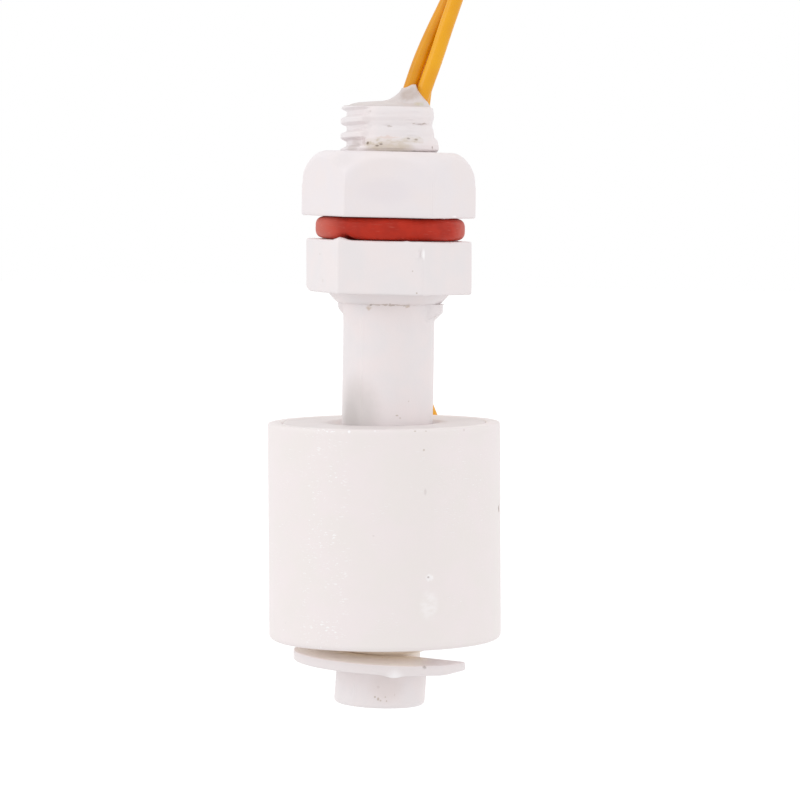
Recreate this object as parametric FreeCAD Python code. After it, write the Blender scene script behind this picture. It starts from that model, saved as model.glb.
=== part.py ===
import FreeCAD, Part
import math
import os

# Float level switch, vertical mounting: a polypropylene body with a hexagon flange, a threaded neck with
# nut and O-ring above it, and a closed stem tube below it on which a ring-shaped float slides.
#
# Millimetres. The origin is the centre of the flange's upper face, which the O-ring seats on.
# +Z runs up the stem's axis to the threaded neck and the leads. -Y is the front.
# An azimuth is an angle seen from above, 0 at the front, growing towards +X.

V = FreeCAD.Vector
UP = V(0, 0, 1)
CENTRE = V(0, 0, 0)

# --- body ---
NECK_R = 4.9                # crest of the M10 x 1.5 thread, which is 0.1 under size
NECK_TOP = 13.3
NECK_BORE_R = 3.6
NECK_CHAMFER = 0.25
NECK_MOUTH = 0.4            # chamfer of its bore, filled by the potting
NECK_BORE_FLOOR = -3.0      # where the neck's wide bore steps down to the stem's
FLANGE_AF = 14.5            # across flats
FLANGE_H = 5.3
FLANGE_TURN = -6.6          # azimuth of the flange's front face
FLANGE_CHAMFER = 0.45       # on the corners of the lower face
FLANGE_EDGE = 0.2
COLLAR_R = 6.05
COLLAR_LOW_R = 5.2
COLLAR_H = 1.0
STEM_R = 4.575
STEM_BORE_R = 2.9
STEM_END = -46.2
STEM_FLOOR = 1.8            # thickness of the closed lower end
STEM_EDGE = 0.4
STEM_BORE_EDGE = 0.5        # fillet round the floor of its bore
GROOVE_R = 3.85
GROOVE_MID = -42.0
GROOVE_H = 1.8
LUG_R = 1.9                 # each lug is an upright rib of round section
LUG_BEVEL = 1.0             # its lower end slopes up and out by this much
LUGS = (                    # azimuth, outermost radius, lowest point
    (78.0, 5.5, -8.1),
    (-112.0, 5.35, -7.7),
)

# --- nut and O-ring ---
RING_H = 2.3                # a 10 x 2.5 ring, squeezed
RING_IN_R = 5.05
RING_OUT_R = 7.55
RING_BULGE = 0.65           # how far its round sides stand out from its flattened faces
RING_GAP = 0.02
NUT_AF = 15.1
NUT_H = 6.5
NUT_BORE_R = 4.95
NUT_FACE_R = 6.85           # flat part of its upper face
NUT_DOME_H = 3.0
NUT_BEND_OUT = 0.68         # the dome's middle point: this share of its width out
NUT_BEND_DOWN = 0.25        # and this share of its height down
NUT_EDGE = 0.25
NUT_BORE_CHAMFER = 0.35

# --- float ---
FLOAT_R = 11.65
FLOAT_TOP = -18.2
FLOAT_H = 21.5
FLOAT_WALL = 1.45
FLOAT_FLOOR = 1.2
FLOAT_EDGE = 0.5
FLOAT_RIM_EDGE = 0.2
FLOAT_BORE_R = 5.0
MOUTH_CHAMFER = 0.75        # of the bore, at both ends
SLEEVE_WALL = 0.9
WALL_FILLET = 0.6           # inside the cup, between floor and wall
SLEEVE_FILLET = 0.4         # and between floor and sleeve
CAP_H = 1.2
CAP_EDGE = 0.12
CAP_GAP = 0.03
SPIGOT_H = 0.8
SPIGOT_R = 6.9
MAGNET_IN_R = 6.0
MAGNET_OUT_R = 8.6
MAGNET_H = 5.0
MAGNET_GAP = 0.06
MAGNET_EDGE = 0.25
RIB_W = 0.8
RIB_SINK = 0.2              # how far each rib runs into the wall and floor that carry it
WALL_RIBS = 6
WALL_RIB_DEPTH = 0.8
SLEEVE_RIBS = 4
SLEEVE_RIB_R = 8.2
SLEEVE_RIB_START = 45.0     # turn of the first one

# --- retaining clip ---
CLIP_R = 8.65
CLIP_T = 1.3
CLIP_BORE_R = 3.92
CLIP_MOUTH_W = 7.0          # narrower than its bore, so that it snaps on
CLIP_MOUTH_AZ = 112.0
CLIP_TILT = 3.0             # it sits askew in its groove, left side up
CLIP_EDGE = 0.25
CLIP_CORNER = 0.35

# --- reed switch and its wiring, inside the stem ---
REED_X = -1.4               # the glass lies to one side, the return wire to the other
RETURN_X = 1.15
GLASS_R = 1.3
GLASS_WALL = 0.35
GLASS_TOP = -15.0
GLASS_LEN = 18.0
GLASS_SEAL = 2.0            # solid glass at each end, round the pin
GLASS_TIP_R = 0.05          # flat left at the very end of each dome
GLASS_INNER_DOME = 0.8      # share of the hollow's radius that rounds its ends
PIN_PLAY = 0.005
BLADE_W = 1.4
BLADE_T = 0.2
BLADE_GAP = 0.12
BLADE_LAP = 1.5
BLADE_ROOT = 1.2            # from the seal to where the blade turns into the round pin
BLADE_PIN_LAP = 0.5
PIN_R = 0.25                # round end of a blade, outside the glass
PIN_TOP = -9.0
PIN_BEND = -38.3            # where the lower pin turns across to the return wire
PIN_REACH = 0.45            # how far it runs on past that wire
CORE_R = 0.3
CORE_LEN = 1.8
CORE_ABOVE_PIN = 0.3        # where the upper wire's insulation ends, above its pin's end
CORE_ABOVE_BEND = 1.3       # and the return wire's, above the lower pin's bend
WIRE_BEND_TOP = 5.0         # each wire crosses the bore between these two heights
WIRE_BEND_LOW = -1.5
WIRE_BEND_SHARE = 0.55      # how far across it is at the first
WIRE_START = 2.0            # straight run below the potting's face
WIRE_Y = PIN_R + CORE_R     # the wires lie behind the pins that they are soldered to
JOINT_R = 0.6
JOINT_LEN = 1.4
JOINT_EDGE = 0.27
SHRINK_R = 1.1              # heat-shrink tube over the upper joint
SHRINK_BORE_R = 0.85
SHRINK_LEN = 4.2
SHRINK_ABOVE_PIN = 1.6
SHRINK_Y_SHARE = 0.9        # it is centred nearer the wire than the pin

# --- potting ---
POT_FLOOR = -1.0
POT_R = 4.65
DOME_H = 0.85
DOME_EDGE_H = 0.15
PEAK_TOP = 15.35            # the resin is drawn up round the leads
PEAK_X = 2.55
PEAK_BASE_R = 1.95
PEAK_TOP_R = 1.15
POT_CLEAR = 0.02

# --- leads ---
LEAD_R = 0.75
LEAD_EXIT = 14.2
TIP_R = 0.45
TIP_LEN = 5.0
ARC_SHARE = 0.45            # each arc takes up this share of its shorter run

# Where each lead runs, from its exit to the coil. They rise as a pair, bend over and hang down behind.
LEAD_A = (
    (3.15, -0.55, LEAD_EXIT),
    (3.72, -0.50, 15.9),
    (4.50, -0.50, 18.1),
    (5.45, -0.55, 21.2),
    (6.60, -0.60, 24.6),
    (8.00, -0.60, 29.0),
    (9.20, 3.40, 33.4),
    (9.10, 10.60, 33.5),
    (7.75, 14.45, 29.2),
    (6.15, 14.60, 24.5),
    (4.80, 14.60, 20.6),
    (3.60, 14.60, 16.6),
    (3.05, 14.60, 10.0),
    (3.00, 14.60, 1.5),
    (2.90, 14.60, -8.0),
    (3.10, 14.70, -16.0),
)
LEAD_B = (
    (1.75, 0.42, LEAD_EXIT),
    (2.22, 0.42, 15.7),
    (2.98, 0.55, 18.0),
    (4.25, 0.75, 21.0),
    (5.80, 0.90, 24.2),
    (7.20, 1.00, 28.3),
    (8.10, 3.90, 31.3),
    (8.10, 9.70, 31.4),
    (7.25, 12.85, 28.4),
    (6.00, 12.95, 24.2),
    (4.75, 12.95, 20.6),
    (3.40, 12.95, 16.6),
    (2.00, 12.95, 10.5),
    (1.45, 12.95, 2.0),
    (1.40, 13.00, -8.0),
    (2.10, 13.60, -17.6),
)

COIL_Z = -29.0
COIL_START_Y = 13.8         # centre of the first inner turn
COIL_PITCH = 1.6
COIL_IN_R = 7.3             # centre of the inner lead's turns
COIL_OUT_R = 8.9            # centre of the outer lead's turns
COIL_IN_TURNS = 5
COIL_ENTRY = 30.0           # angle above +X at which the leads meet the coil
COIL_MARGIN = 0.05
TAIL_LEN = 7.5
TIE_T = 0.6
TIE_W = 2.2
TIE_GAP = 0.05
TIE_SLACK = 0.15             # the coil's bore curves up into the tie
TIE_CORNER = 0.35


def hexagon(across_flats, z0, height, turn):
    """An upright hexagonal bar with a flat facing the azimuth turn."""
    corner_r = across_flats / math.sqrt(3)
    corners = [
        V(corner_r * math.cos(math.radians(60 * i - 60 + turn)),
          corner_r * math.sin(math.radians(60 * i - 60 + turn)), z0)
        for i in range(6)
    ]
    face = Part.Face(Part.makePolygon(corners + corners[:1]))
    return face.extrude(V(0, 0, height))


def corner_arc(before, corner, after, radius):
    """The arc of a radius that rounds a corner, and its first and last points."""
    back = (before - corner).normalize()
    ahead = (after - corner).normalize()
    half = back.getAngle(ahead) / 2
    reach = radius / math.tan(half)
    inward = (back + ahead).normalize()
    first = corner + back * reach
    last = corner + ahead * reach
    middle = corner + inward * (radius / math.sin(half) - radius)
    return Part.Arc(first, middle, last).toShape(), first, last


def outline(corners):
    """A closed outline in the XZ plane from (x, z) or (x, z, radius) corners."""
    points = [V(c[0], 0, c[1]) for c in corners]
    radii = [c[2] if len(c) > 2 else 0 for c in corners]
    count = len(points)
    edges = []
    starts = []
    ends = []
    for i in range(count):
        if radii[i]:
            arc, first, last = corner_arc(points[i - 1], points[i], points[(i + 1) % count], radii[i])
        else:
            arc, first, last = None, points[i], points[i]
        starts.append((arc, first))
        ends.append(last)
    for i in range(count):
        arc = starts[i][0]
        if arc:
            edges.append(arc)
        following = starts[(i + 1) % count][1]
        if (following - ends[i]).Length > 1e-6:
            edges.append(Part.LineSegment(ends[i], following).toShape())
    return Part.Face(Part.Wire(Part.__sortEdges__(edges)))


def turned(corners):
    """A solid of revolution about the Z axis."""
    return outline(corners).revolve(CENTRE, UP, 360)


def ring(r_in, r_out, z0, z1):
    """A plain ring about the Z axis."""
    return turned([(r_in, z0), (r_out, z0), (r_out, z1), (r_in, z1)])


def disc(radius, z0, z1, x=0.0, y=0.0):
    """An upright cylinder."""
    return Part.makeCylinder(radius, z1 - z0, V(x, y, z0))


def around_z(shape, count, start=0.0):
    """Copies of a shape, evenly spaced about the Z axis."""
    copies = []
    for i in range(count):
        copy = shape.copy()
        copy.rotate(CENTRE, UP, start + 360.0 * i / count)
        copies.append(copy)
    return copies


def arc_radii(points):
    """The radius of each arc on a route: as large as its two runs allow."""
    radii = []
    for before, corner, after in zip(points, points[1:], points[2:]):
        turn = math.pi - (before - corner).getAngle(after - corner)
        shorter = min((corner - before).Length, (after - corner).Length)
        radii.append(ARC_SHARE * shorter / math.tan(turn / 2))
    return radii


def route(points):
    """A wire of straight runs joined by tangent arcs."""
    radii = arc_radii(points)
    edges = []
    here = points[0]
    for i, radius in enumerate(radii, start=1):
        arc, first, last = corner_arc(points[i - 1], points[i], points[i + 1], radius)
        edges.append(Part.LineSegment(here, first).toShape())
        edges.append(arc)
        here = last
    edges.append(Part.LineSegment(here, points[-1]).toShape())
    return Part.Wire(edges)


def tube(points, radius):
    """A round rod along a route."""
    path = route(points)
    start = Part.Wire(Part.makeCircle(radius, points[0], points[1] - points[0]))
    return path, path.makePipeShell([start], True, False)


def direction(azimuth):
    """The unit vector towards an azimuth."""
    return V(math.sin(math.radians(azimuth)), -math.cos(math.radians(azimuth)), 0)


def make_lug(azimuth, reach, low):
    """A short upright rib under the collar that stops the float."""
    centre = direction(azimuth) * (reach - LUG_R)
    top = -FLANGE_H - COLLAR_H / 2
    rib = disc(LUG_R, low, top, centre.x, centre.y)
    foot = reach - LUG_BEVEL
    outside = 2 * LUG_BEVEL
    slope = turned([(foot, low - 1), (foot + outside, low - 1), (foot + outside, low + outside), (foot, low)])
    return rib.cut(slope)


def make_body():
    """The moulded body: neck, hexagon flange, collar, lugs and stem, hollow and closed below."""
    neck = turned([(0, -1), (NECK_R, -1), (NECK_R, NECK_TOP - NECK_CHAMFER),
                   (NECK_R - NECK_CHAMFER, NECK_TOP), (0, NECK_TOP)])
    corner_r = FLANGE_AF / math.sqrt(3)
    low = -FLANGE_H
    trim = turned([(0, low), (corner_r - FLANGE_CHAMFER, low), (corner_r, low + FLANGE_CHAMFER),
                   (corner_r, -FLANGE_EDGE), (corner_r - FLANGE_EDGE, 0), (0, 0)])
    flange = hexagon(FLANGE_AF, low, FLANGE_H, FLANGE_TURN).common(trim)
    groove_top = GROOVE_MID + GROOVE_H / 2
    groove_low = GROOVE_MID - GROOVE_H / 2
    stem = turned([(0, low + 1), (COLLAR_R, low + 1), (COLLAR_R, low),
                   (COLLAR_LOW_R, low - COLLAR_H), (STEM_R, low - COLLAR_H),
                   (STEM_R, groove_top), (GROOVE_R, groove_top), (GROOVE_R, groove_low),
                   (STEM_R, groove_low), (STEM_R, STEM_END, STEM_EDGE), (0, STEM_END)])
    solid = neck.fuse([flange, stem] + [make_lug(*lug) for lug in LUGS])
    step = NECK_BORE_R - STEM_BORE_R
    bore = turned([(0, STEM_END + STEM_FLOOR), (STEM_BORE_R, STEM_END + STEM_FLOOR, STEM_BORE_EDGE),
                   (STEM_BORE_R, NECK_BORE_FLOOR - step), (NECK_BORE_R, NECK_BORE_FLOOR),
                   (NECK_BORE_R, NECK_TOP - NECK_MOUTH), (NECK_BORE_R + NECK_MOUTH, NECK_TOP),
                   (NECK_BORE_R + NECK_MOUTH, NECK_TOP + 1), (0, NECK_TOP + 1)])
    return solid.cut(bore).removeSplitter()


def make_nut():
    """The hexagon nut, domed above, with a plain running bore."""
    z0 = RING_H
    corner_r = NUT_AF / math.sqrt(3)
    top = z0 + NUT_H
    side = corner_r - NUT_FACE_R
    bend = V(NUT_FACE_R + side * NUT_BEND_OUT, 0, top - NUT_DOME_H * NUT_BEND_DOWN)
    edges = [
        Part.LineSegment(V(0, 0, z0), V(corner_r - NUT_EDGE, 0, z0)).toShape(),
        Part.LineSegment(V(corner_r - NUT_EDGE, 0, z0), V(corner_r, 0, z0 + NUT_EDGE)).toShape(),
        Part.LineSegment(V(corner_r, 0, z0 + NUT_EDGE), V(corner_r, 0, top - NUT_DOME_H)).toShape(),
        Part.Arc(V(corner_r, 0, top - NUT_DOME_H), bend, V(NUT_FACE_R, 0, top)).toShape(),
        Part.LineSegment(V(NUT_FACE_R, 0, top), V(0, 0, top)).toShape(),
        Part.LineSegment(V(0, 0, top), V(0, 0, z0)).toShape(),
    ]
    dome = Part.Face(Part.Wire(edges)).revolve(CENTRE, UP, 360)
    wide = NUT_BORE_R + NUT_BORE_CHAMFER
    bore = turned([(0, z0 - 1), (wide, z0 - 1), (wide, z0), (NUT_BORE_R, z0 + NUT_BORE_CHAMFER),
                   (NUT_BORE_R, top - NUT_BORE_CHAMFER), (wide, top), (wide, top + 1), (0, top + 1)])
    return hexagon(NUT_AF, z0, NUT_H, 0).common(dome).cut(bore)


def make_gasket():
    """The silicone O-ring, squeezed between the flange and the nut."""
    low = RING_GAP
    high = RING_H - RING_GAP
    middle = (low + high) / 2
    flat_in = RING_IN_R + RING_BULGE
    flat_out = RING_OUT_R - RING_BULGE
    edges = [
        Part.LineSegment(V(flat_in, 0, low), V(flat_out, 0, low)).toShape(),
        Part.Arc(V(flat_out, 0, low), V(RING_OUT_R, 0, middle), V(flat_out, 0, high)).toShape(),
        Part.LineSegment(V(flat_out, 0, high), V(flat_in, 0, high)).toShape(),
        Part.Arc(V(flat_in, 0, high), V(RING_IN_R, 0, middle), V(flat_in, 0, low)).toShape(),
    ]
    return Part.Face(Part.Wire(edges)).revolve(CENTRE, UP, 360)


def make_float_shell():
    """The float's cup, with the sleeve that rides on the stem and the ribs that carry cap and magnet."""
    low = FLOAT_TOP - FLOAT_H
    floor = low + FLOAT_FLOOR
    inner_r = FLOAT_R - FLOAT_WALL
    sleeve_r = FLOAT_BORE_R + SLEEVE_WALL
    ledge = FLOAT_TOP - CAP_H
    cup = turned([
        (FLOAT_BORE_R + MOUTH_CHAMFER, low), (FLOAT_R, low, FLOAT_EDGE), (FLOAT_R, FLOAT_TOP, FLOAT_RIM_EDGE),
        (inner_r, FLOAT_TOP), (inner_r, floor, WALL_FILLET), (sleeve_r, floor, SLEEVE_FILLET),
        (sleeve_r, ledge), (FLOAT_BORE_R, ledge), (FLOAT_BORE_R, low + MOUTH_CHAMFER),
    ])
    shelf = FLOAT_TOP - CAP_H - SPIGOT_H - MAGNET_H - 2 * MAGNET_GAP
    foot = floor - RIB_SINK
    wall_rib = Part.makeBox(WALL_RIB_DEPTH + RIB_SINK, RIB_W, ledge - foot,
                            V(inner_r - WALL_RIB_DEPTH, -RIB_W / 2, foot))
    sleeve_rib = Part.makeBox(SLEEVE_RIB_R - sleeve_r + RIB_SINK, RIB_W, shelf - foot,
                              V(sleeve_r - RIB_SINK, -RIB_W / 2, foot))
    ribs = around_z(wall_rib, WALL_RIBS) + around_z(sleeve_rib, SLEEVE_RIBS, SLEEVE_RIB_START)
    return cup.fuse(ribs).removeSplitter()


def make_float_cap():
    """The ring-shaped lid that closes the float and holds the magnet down."""
    ledge = FLOAT_TOP - CAP_H
    spigot_in = FLOAT_BORE_R + SLEEVE_WALL + CAP_GAP
    return turned([
        (FLOAT_BORE_R + MOUTH_CHAMFER, FLOAT_TOP), (FLOAT_R - FLOAT_WALL - CAP_GAP, FLOAT_TOP, CAP_EDGE),
        (FLOAT_R - FLOAT_WALL - CAP_GAP, ledge), (SPIGOT_R, ledge), (SPIGOT_R, ledge - SPIGOT_H),
        (spigot_in, ledge - SPIGOT_H), (spigot_in, ledge), (FLOAT_BORE_R, ledge),
        (FLOAT_BORE_R, FLOAT_TOP - MOUTH_CHAMFER),
    ])


def make_magnet():
    """The ring magnet that works the reed switch."""
    top = FLOAT_TOP - CAP_H - SPIGOT_H - MAGNET_GAP
    low = top - MAGNET_H
    return turned([(MAGNET_IN_R, low, MAGNET_EDGE), (MAGNET_OUT_R, low, MAGNET_EDGE),
                   (MAGNET_OUT_R, top, MAGNET_EDGE), (MAGNET_IN_R, top, MAGNET_EDGE)])


def make_clip():
    """The open retaining clip that snaps into the stem's groove and carries the float when it is low."""
    low = GROOVE_MID - CLIP_T / 2
    high = low + CLIP_T
    mouth = Part.makeBox(CLIP_R * 2, CLIP_MOUTH_W, CLIP_T + 2, V(0, -CLIP_MOUTH_W / 2, low - 1))
    mouth.rotate(CENTRE, UP, CLIP_MOUTH_AZ - 90)
    plate = ring(CLIP_BORE_R, CLIP_R, low, high).cut(mouth)
    corners = [edge for edge in plate.Edges
               if isinstance(edge.Curve, Part.Line) and abs(edge.Length - CLIP_T) < 1e-6
               and abs(edge.tangentAt(edge.FirstParameter).z) > 0.99]
    plate = plate.makeFillet(CLIP_CORNER, corners)
    rim = turned([(0, low), (CLIP_R, low, CLIP_EDGE), (CLIP_R, high, CLIP_EDGE), (0, high)])
    clip = plate.common(rim)
    clip.rotate(V(0, 0, GROOVE_MID), V(0, 1, 0), CLIP_TILT)
    return clip


def make_glass():
    """The reed switch's glass capsule, with the two pins through its sealed ends."""
    low = GLASS_TOP - GLASS_LEN
    dome = GLASS_R - GLASS_TIP_R
    outer = turned([(0, low), (GLASS_R, low, dome), (GLASS_R, GLASS_TOP, dome), (0, GLASS_TOP)])
    r_in = GLASS_R - GLASS_WALL
    inner_dome = r_in * GLASS_INNER_DOME
    hollow = turned([(0, low + GLASS_SEAL), (r_in, low + GLASS_SEAL, inner_dome),
                     (r_in, GLASS_TOP - GLASS_SEAL, inner_dome), (0, GLASS_TOP - GLASS_SEAL)])
    pin = disc(PIN_R + PIN_PLAY, low - 1, GLASS_TOP + 1)
    glass = outer.cut(hollow).cut(pin)
    glass.translate(V(REED_X, 0, 0))
    return glass


def make_blade(upper):
    """One reed: a round pin outside and through the seal, flattened to a blade inside the glass."""
    middle = GLASS_TOP - GLASS_LEN / 2
    way = 1 if upper else -1
    root = middle + way * (GLASS_LEN / 2 - GLASS_SEAL - BLADE_ROOT)
    end = middle - way * BLADE_LAP / 2
    front = BLADE_GAP / 2 if upper else -BLADE_GAP / 2 - BLADE_T
    blade = Part.makeBox(BLADE_W, BLADE_T, abs(root - end), V(REED_X - BLADE_W / 2, front, min(root, end)))
    far = PIN_TOP if upper else PIN_BEND
    overlap = root - way * BLADE_PIN_LAP
    pin = disc(PIN_R, min(overlap, far), max(overlap, far), REED_X)
    if upper:
        return blade.fuse(pin)
    elbow = Part.makeSphere(PIN_R, V(REED_X, 0, PIN_BEND))
    across = Part.makeCylinder(PIN_R, RETURN_X + PIN_REACH - REED_X, V(REED_X, 0, PIN_BEND), V(1, 0, 0))
    return blade.fuse([pin, elbow, across])


def inner_wire_route(exit_point, onward, x, low):
    """The route of a wire inside the body, from the potting's face down to its solder joint."""
    below = exit_point - (onward - exit_point).normalize() * WIRE_START
    across = below.x + (x - below.x) * WIRE_BEND_SHARE
    halfway = V(across, (below.y + WIRE_Y) / 2, WIRE_BEND_TOP)
    return [exit_point, below, halfway, V(x, WIRE_Y, WIRE_BEND_LOW), V(x, WIRE_Y, low)]


def make_core(x, low):
    """The bared strands at the end of a wire."""
    return disc(CORE_R, low - CORE_LEN, low, x, WIRE_Y)


def make_joint(x, z, pieces):
    """The lump of solder that holds a wire's core to a pin."""
    joint = disc(JOINT_R, z - JOINT_LEN / 2, z + JOINT_LEN / 2, x, WIRE_Y / 2)
    joint = joint.makeFillet(JOINT_EDGE, [e for e in joint.Edges if isinstance(e.Curve, Part.Circle)])
    for piece in pieces:
        joint = joint.cut(piece)
    return joint


def make_shrink_tube():
    """The heat-shrink tube that insulates the upper joint from the return wire."""
    top = PIN_TOP + SHRINK_ABOVE_PIN
    low = top - SHRINK_LEN
    place = (REED_X, WIRE_Y * SHRINK_Y_SHARE)
    return disc(SHRINK_R, low, top, *place).cut(disc(SHRINK_BORE_R, low, top, *place))


def make_potting(wires):
    """The resin that fills the neck and stands up round the leads."""
    fill_r = NECK_BORE_R - POT_CLEAR
    corners = [V(0, 0, POT_FLOOR), V(fill_r, 0, POT_FLOOR), V(fill_r, 0, NECK_TOP - NECK_MOUTH),
               V(fill_r + NECK_MOUTH, 0, NECK_TOP), V(POT_R, 0, NECK_TOP),
               V(POT_R, 0, NECK_TOP + DOME_EDGE_H)]
    rise = DOME_H - DOME_EDGE_H
    sphere_r = (POT_R ** 2 + rise ** 2) / (2 * rise)
    half = math.asin(POT_R / sphere_r) / 2
    crown = V(0, 0, NECK_TOP + DOME_H)
    shoulder = crown + V(sphere_r * math.sin(half), 0, sphere_r * (math.cos(half) - 1))
    edges = [Part.LineSegment(a, b).toShape() for a, b in zip(corners, corners[1:])]
    edges.append(Part.Arc(corners[-1], shoulder, crown).toShape())
    edges.append(Part.LineSegment(crown, corners[0]).toShape())
    fill = Part.Face(Part.Wire(edges)).revolve(CENTRE, UP, 360)
    base = NECK_TOP + DOME_EDGE_H / 2
    peak = Part.makeCone(PEAK_BASE_R, PEAK_TOP_R, PEAK_TOP - base, V(PEAK_X, 0, base))
    potting = fill.fuse(peak)
    for wire in wires:
        potting = potting.cut(wire)
    return potting


def coil_turns(coil_r):
    """How many times a lead goes round: the inner one once more, so that both are equally long."""
    whole = COIL_IN_TURNS if coil_r == COIL_IN_R else COIL_IN_TURNS - 1
    return whole + COIL_ENTRY / 360


def make_coil():
    """The outer shape of the wound leads: a thick round ring whose axis is front to back."""
    r_in = COIL_IN_R - LEAD_R - COIL_MARGIN
    r_out = COIL_OUT_R + LEAD_R + COIL_MARGIN
    front = COIL_START_Y - LEAD_R - COIL_MARGIN
    depth = COIL_PITCH * (COIL_IN_TURNS + COIL_ENTRY / 360) + 2 * (LEAD_R + COIL_MARGIN)
    centre = V(0, front, COIL_Z)
    back = V(0, 1, 0)
    return Part.makeCylinder(r_out, depth, centre, back).cut(Part.makeCylinder(r_in, depth, centre, back))


def make_tie(coil):
    """The tie round the coil's lowest part."""
    box = coil.BoundBox
    band = COIL_OUT_R - COIL_IN_R + 2 * (LEAD_R + COIL_MARGIN)
    low = box.ZMin - TIE_GAP
    gap_h = band + 2 * TIE_GAP + TIE_SLACK
    gap_d = box.YLength + 2 * TIE_GAP
    outer = Part.makeBox(TIE_W, gap_d + 2 * TIE_T, gap_h + 2 * TIE_T,
                         V(-TIE_W / 2, box.YMin - TIE_GAP - TIE_T, low - TIE_T))
    inner = Part.makeBox(TIE_W + 2, gap_d, gap_h, V(-TIE_W / 2 - 1, box.YMin - TIE_GAP, low))
    across = [edge for edge in outer.Edges if abs(edge.tangentAt(0).x) > 0.9]
    return outer.makeFillet(TIE_CORNER, across).cut(inner)


def make_tail(coil_r, first_y, coil):
    """The straight insulated end of a lead, which hangs from the coil's right side."""
    y = first_y + COIL_PITCH * coil_turns(coil_r)
    return disc(LEAD_R, COIL_Z - TAIL_LEN, COIL_Z, coil_r, y).cut(coil)


def make_tip(coil_r, first_y):
    """The bared and tinned end of a lead."""
    y = first_y + COIL_PITCH * coil_turns(coil_r)
    top = COIL_Z - TAIL_LEN
    return disc(TIP_R, top - TIP_LEN, top, coil_r, y)


def report_route(name, points, path, solid):
    """Prints a lead's arcs and compares its volume with its section times its length."""
    radii = ", ".join(f"{r:.1f}" for r in arc_radii(points))
    runs = ", ".join(f"{(b - a).Length:.1f}" for a, b in zip(points, points[1:]))
    print(f"{name}: runs {runs}")
    print(f"{name}: arc radii {radii}")
    print(f"{name}: length {path.Length:.1f}, volume over section times length "
          f"{solid.Volume / (math.pi * LEAD_R ** 2 * path.Length):.4f}")


def make_lead(name, points, coil_r, first_y, coil):
    """The free stretch of a lead, from its exit to the coil, and its whole route."""
    angle = math.radians(COIL_ENTRY)
    meets = V(coil_r * math.cos(angle), first_y, COIL_Z + coil_r * math.sin(angle))
    run = [V(*point) for point in points] + [meets]
    path, solid = tube(run, LEAD_R)
    turns = coil_turns(coil_r)
    report_route(name, run, path, solid)
    print(f"{name}: whole length {path.Length + 2 * math.pi * coil_r * turns + TAIL_LEN:.1f}")
    return run, solid.cut(coil)


def main():
    """Builds every piece and writes one STEP file for each."""
    os.makedirs("parts", exist_ok=True)
    coil = make_coil()
    upper, lower = make_blade(True), make_blade(False)
    parts = {
        "switch_body": make_body(),
        "panel_nut": make_nut(),
        "o_ring": make_gasket(),
        "float_shell": make_float_shell(),
        "float_cap": make_float_cap(),
        "ring_magnet": make_magnet(),
        "retaining_clip": make_clip(),
        "reed_glass": make_glass(),
        "reed_blade_upper": upper,
        "reed_blade_lower": lower,
        "joint_shrink_tube": make_shrink_tube(),
        "lead_coil": coil,
        "coil_tie": make_tie(coil),
    }
    leads = {
        "a": (LEAD_A, COIL_OUT_R, COIL_START_Y + COIL_PITCH / 2, RETURN_X, PIN_BEND + CORE_ABOVE_BEND, lower),
        "b": (LEAD_B, COIL_IN_R, COIL_START_Y, REED_X, PIN_TOP + CORE_ABOVE_PIN, upper),
    }
    pockets = []
    for letter, (points, coil_r, first_y, x, low, pin) in leads.items():
        run, free = make_lead(f"lead_{letter}", points, coil_r, first_y, coil)
        inside = inner_wire_route(run[0], run[1], x, low)
        core = make_core(x, low)
        joint_z = PIN_BEND if letter == "a" else low - CORE_LEN / 2
        parts[f"lead_{letter}"] = free
        parts[f"inner_wire_{letter}"] = tube(inside, LEAD_R)[1]
        parts[f"wire_core_{letter}"] = core
        parts[f"solder_joint_{letter}"] = make_joint(x, joint_z, (core, pin))
        parts[f"lead_tail_{letter}"] = make_tail(coil_r, first_y, coil)
        parts[f"lead_tip_{letter}"] = make_tip(coil_r, first_y)
        pockets.append(tube(inside[:0:-1] + run[1:4], LEAD_R + POT_CLEAR)[1])
    parts["potting"] = make_potting(pockets)
    for name, shape in parts.items():
        print(f"{name}: {len(shape.Solids)} solid, {shape.Volume:.2f} mm3, valid {shape.isValid()}")
        shape.Solids[0].exportStep(f"parts/{name}.step")


main()
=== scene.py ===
"""Float level switch: the finish of every piece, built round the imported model.

Lengths are in millimetres where a name or a docstring says so, and are turned into metres by MM
where a mesh is made. An azimuth is an angle seen from above, 0 at the front, growing towards +X.
"""

import logging
import math
from dataclasses import dataclass, field
from enum import Enum
from typing import TypeAlias

import bpy
import numpy as np
from mathutils import Matrix, Vector, noise

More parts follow.
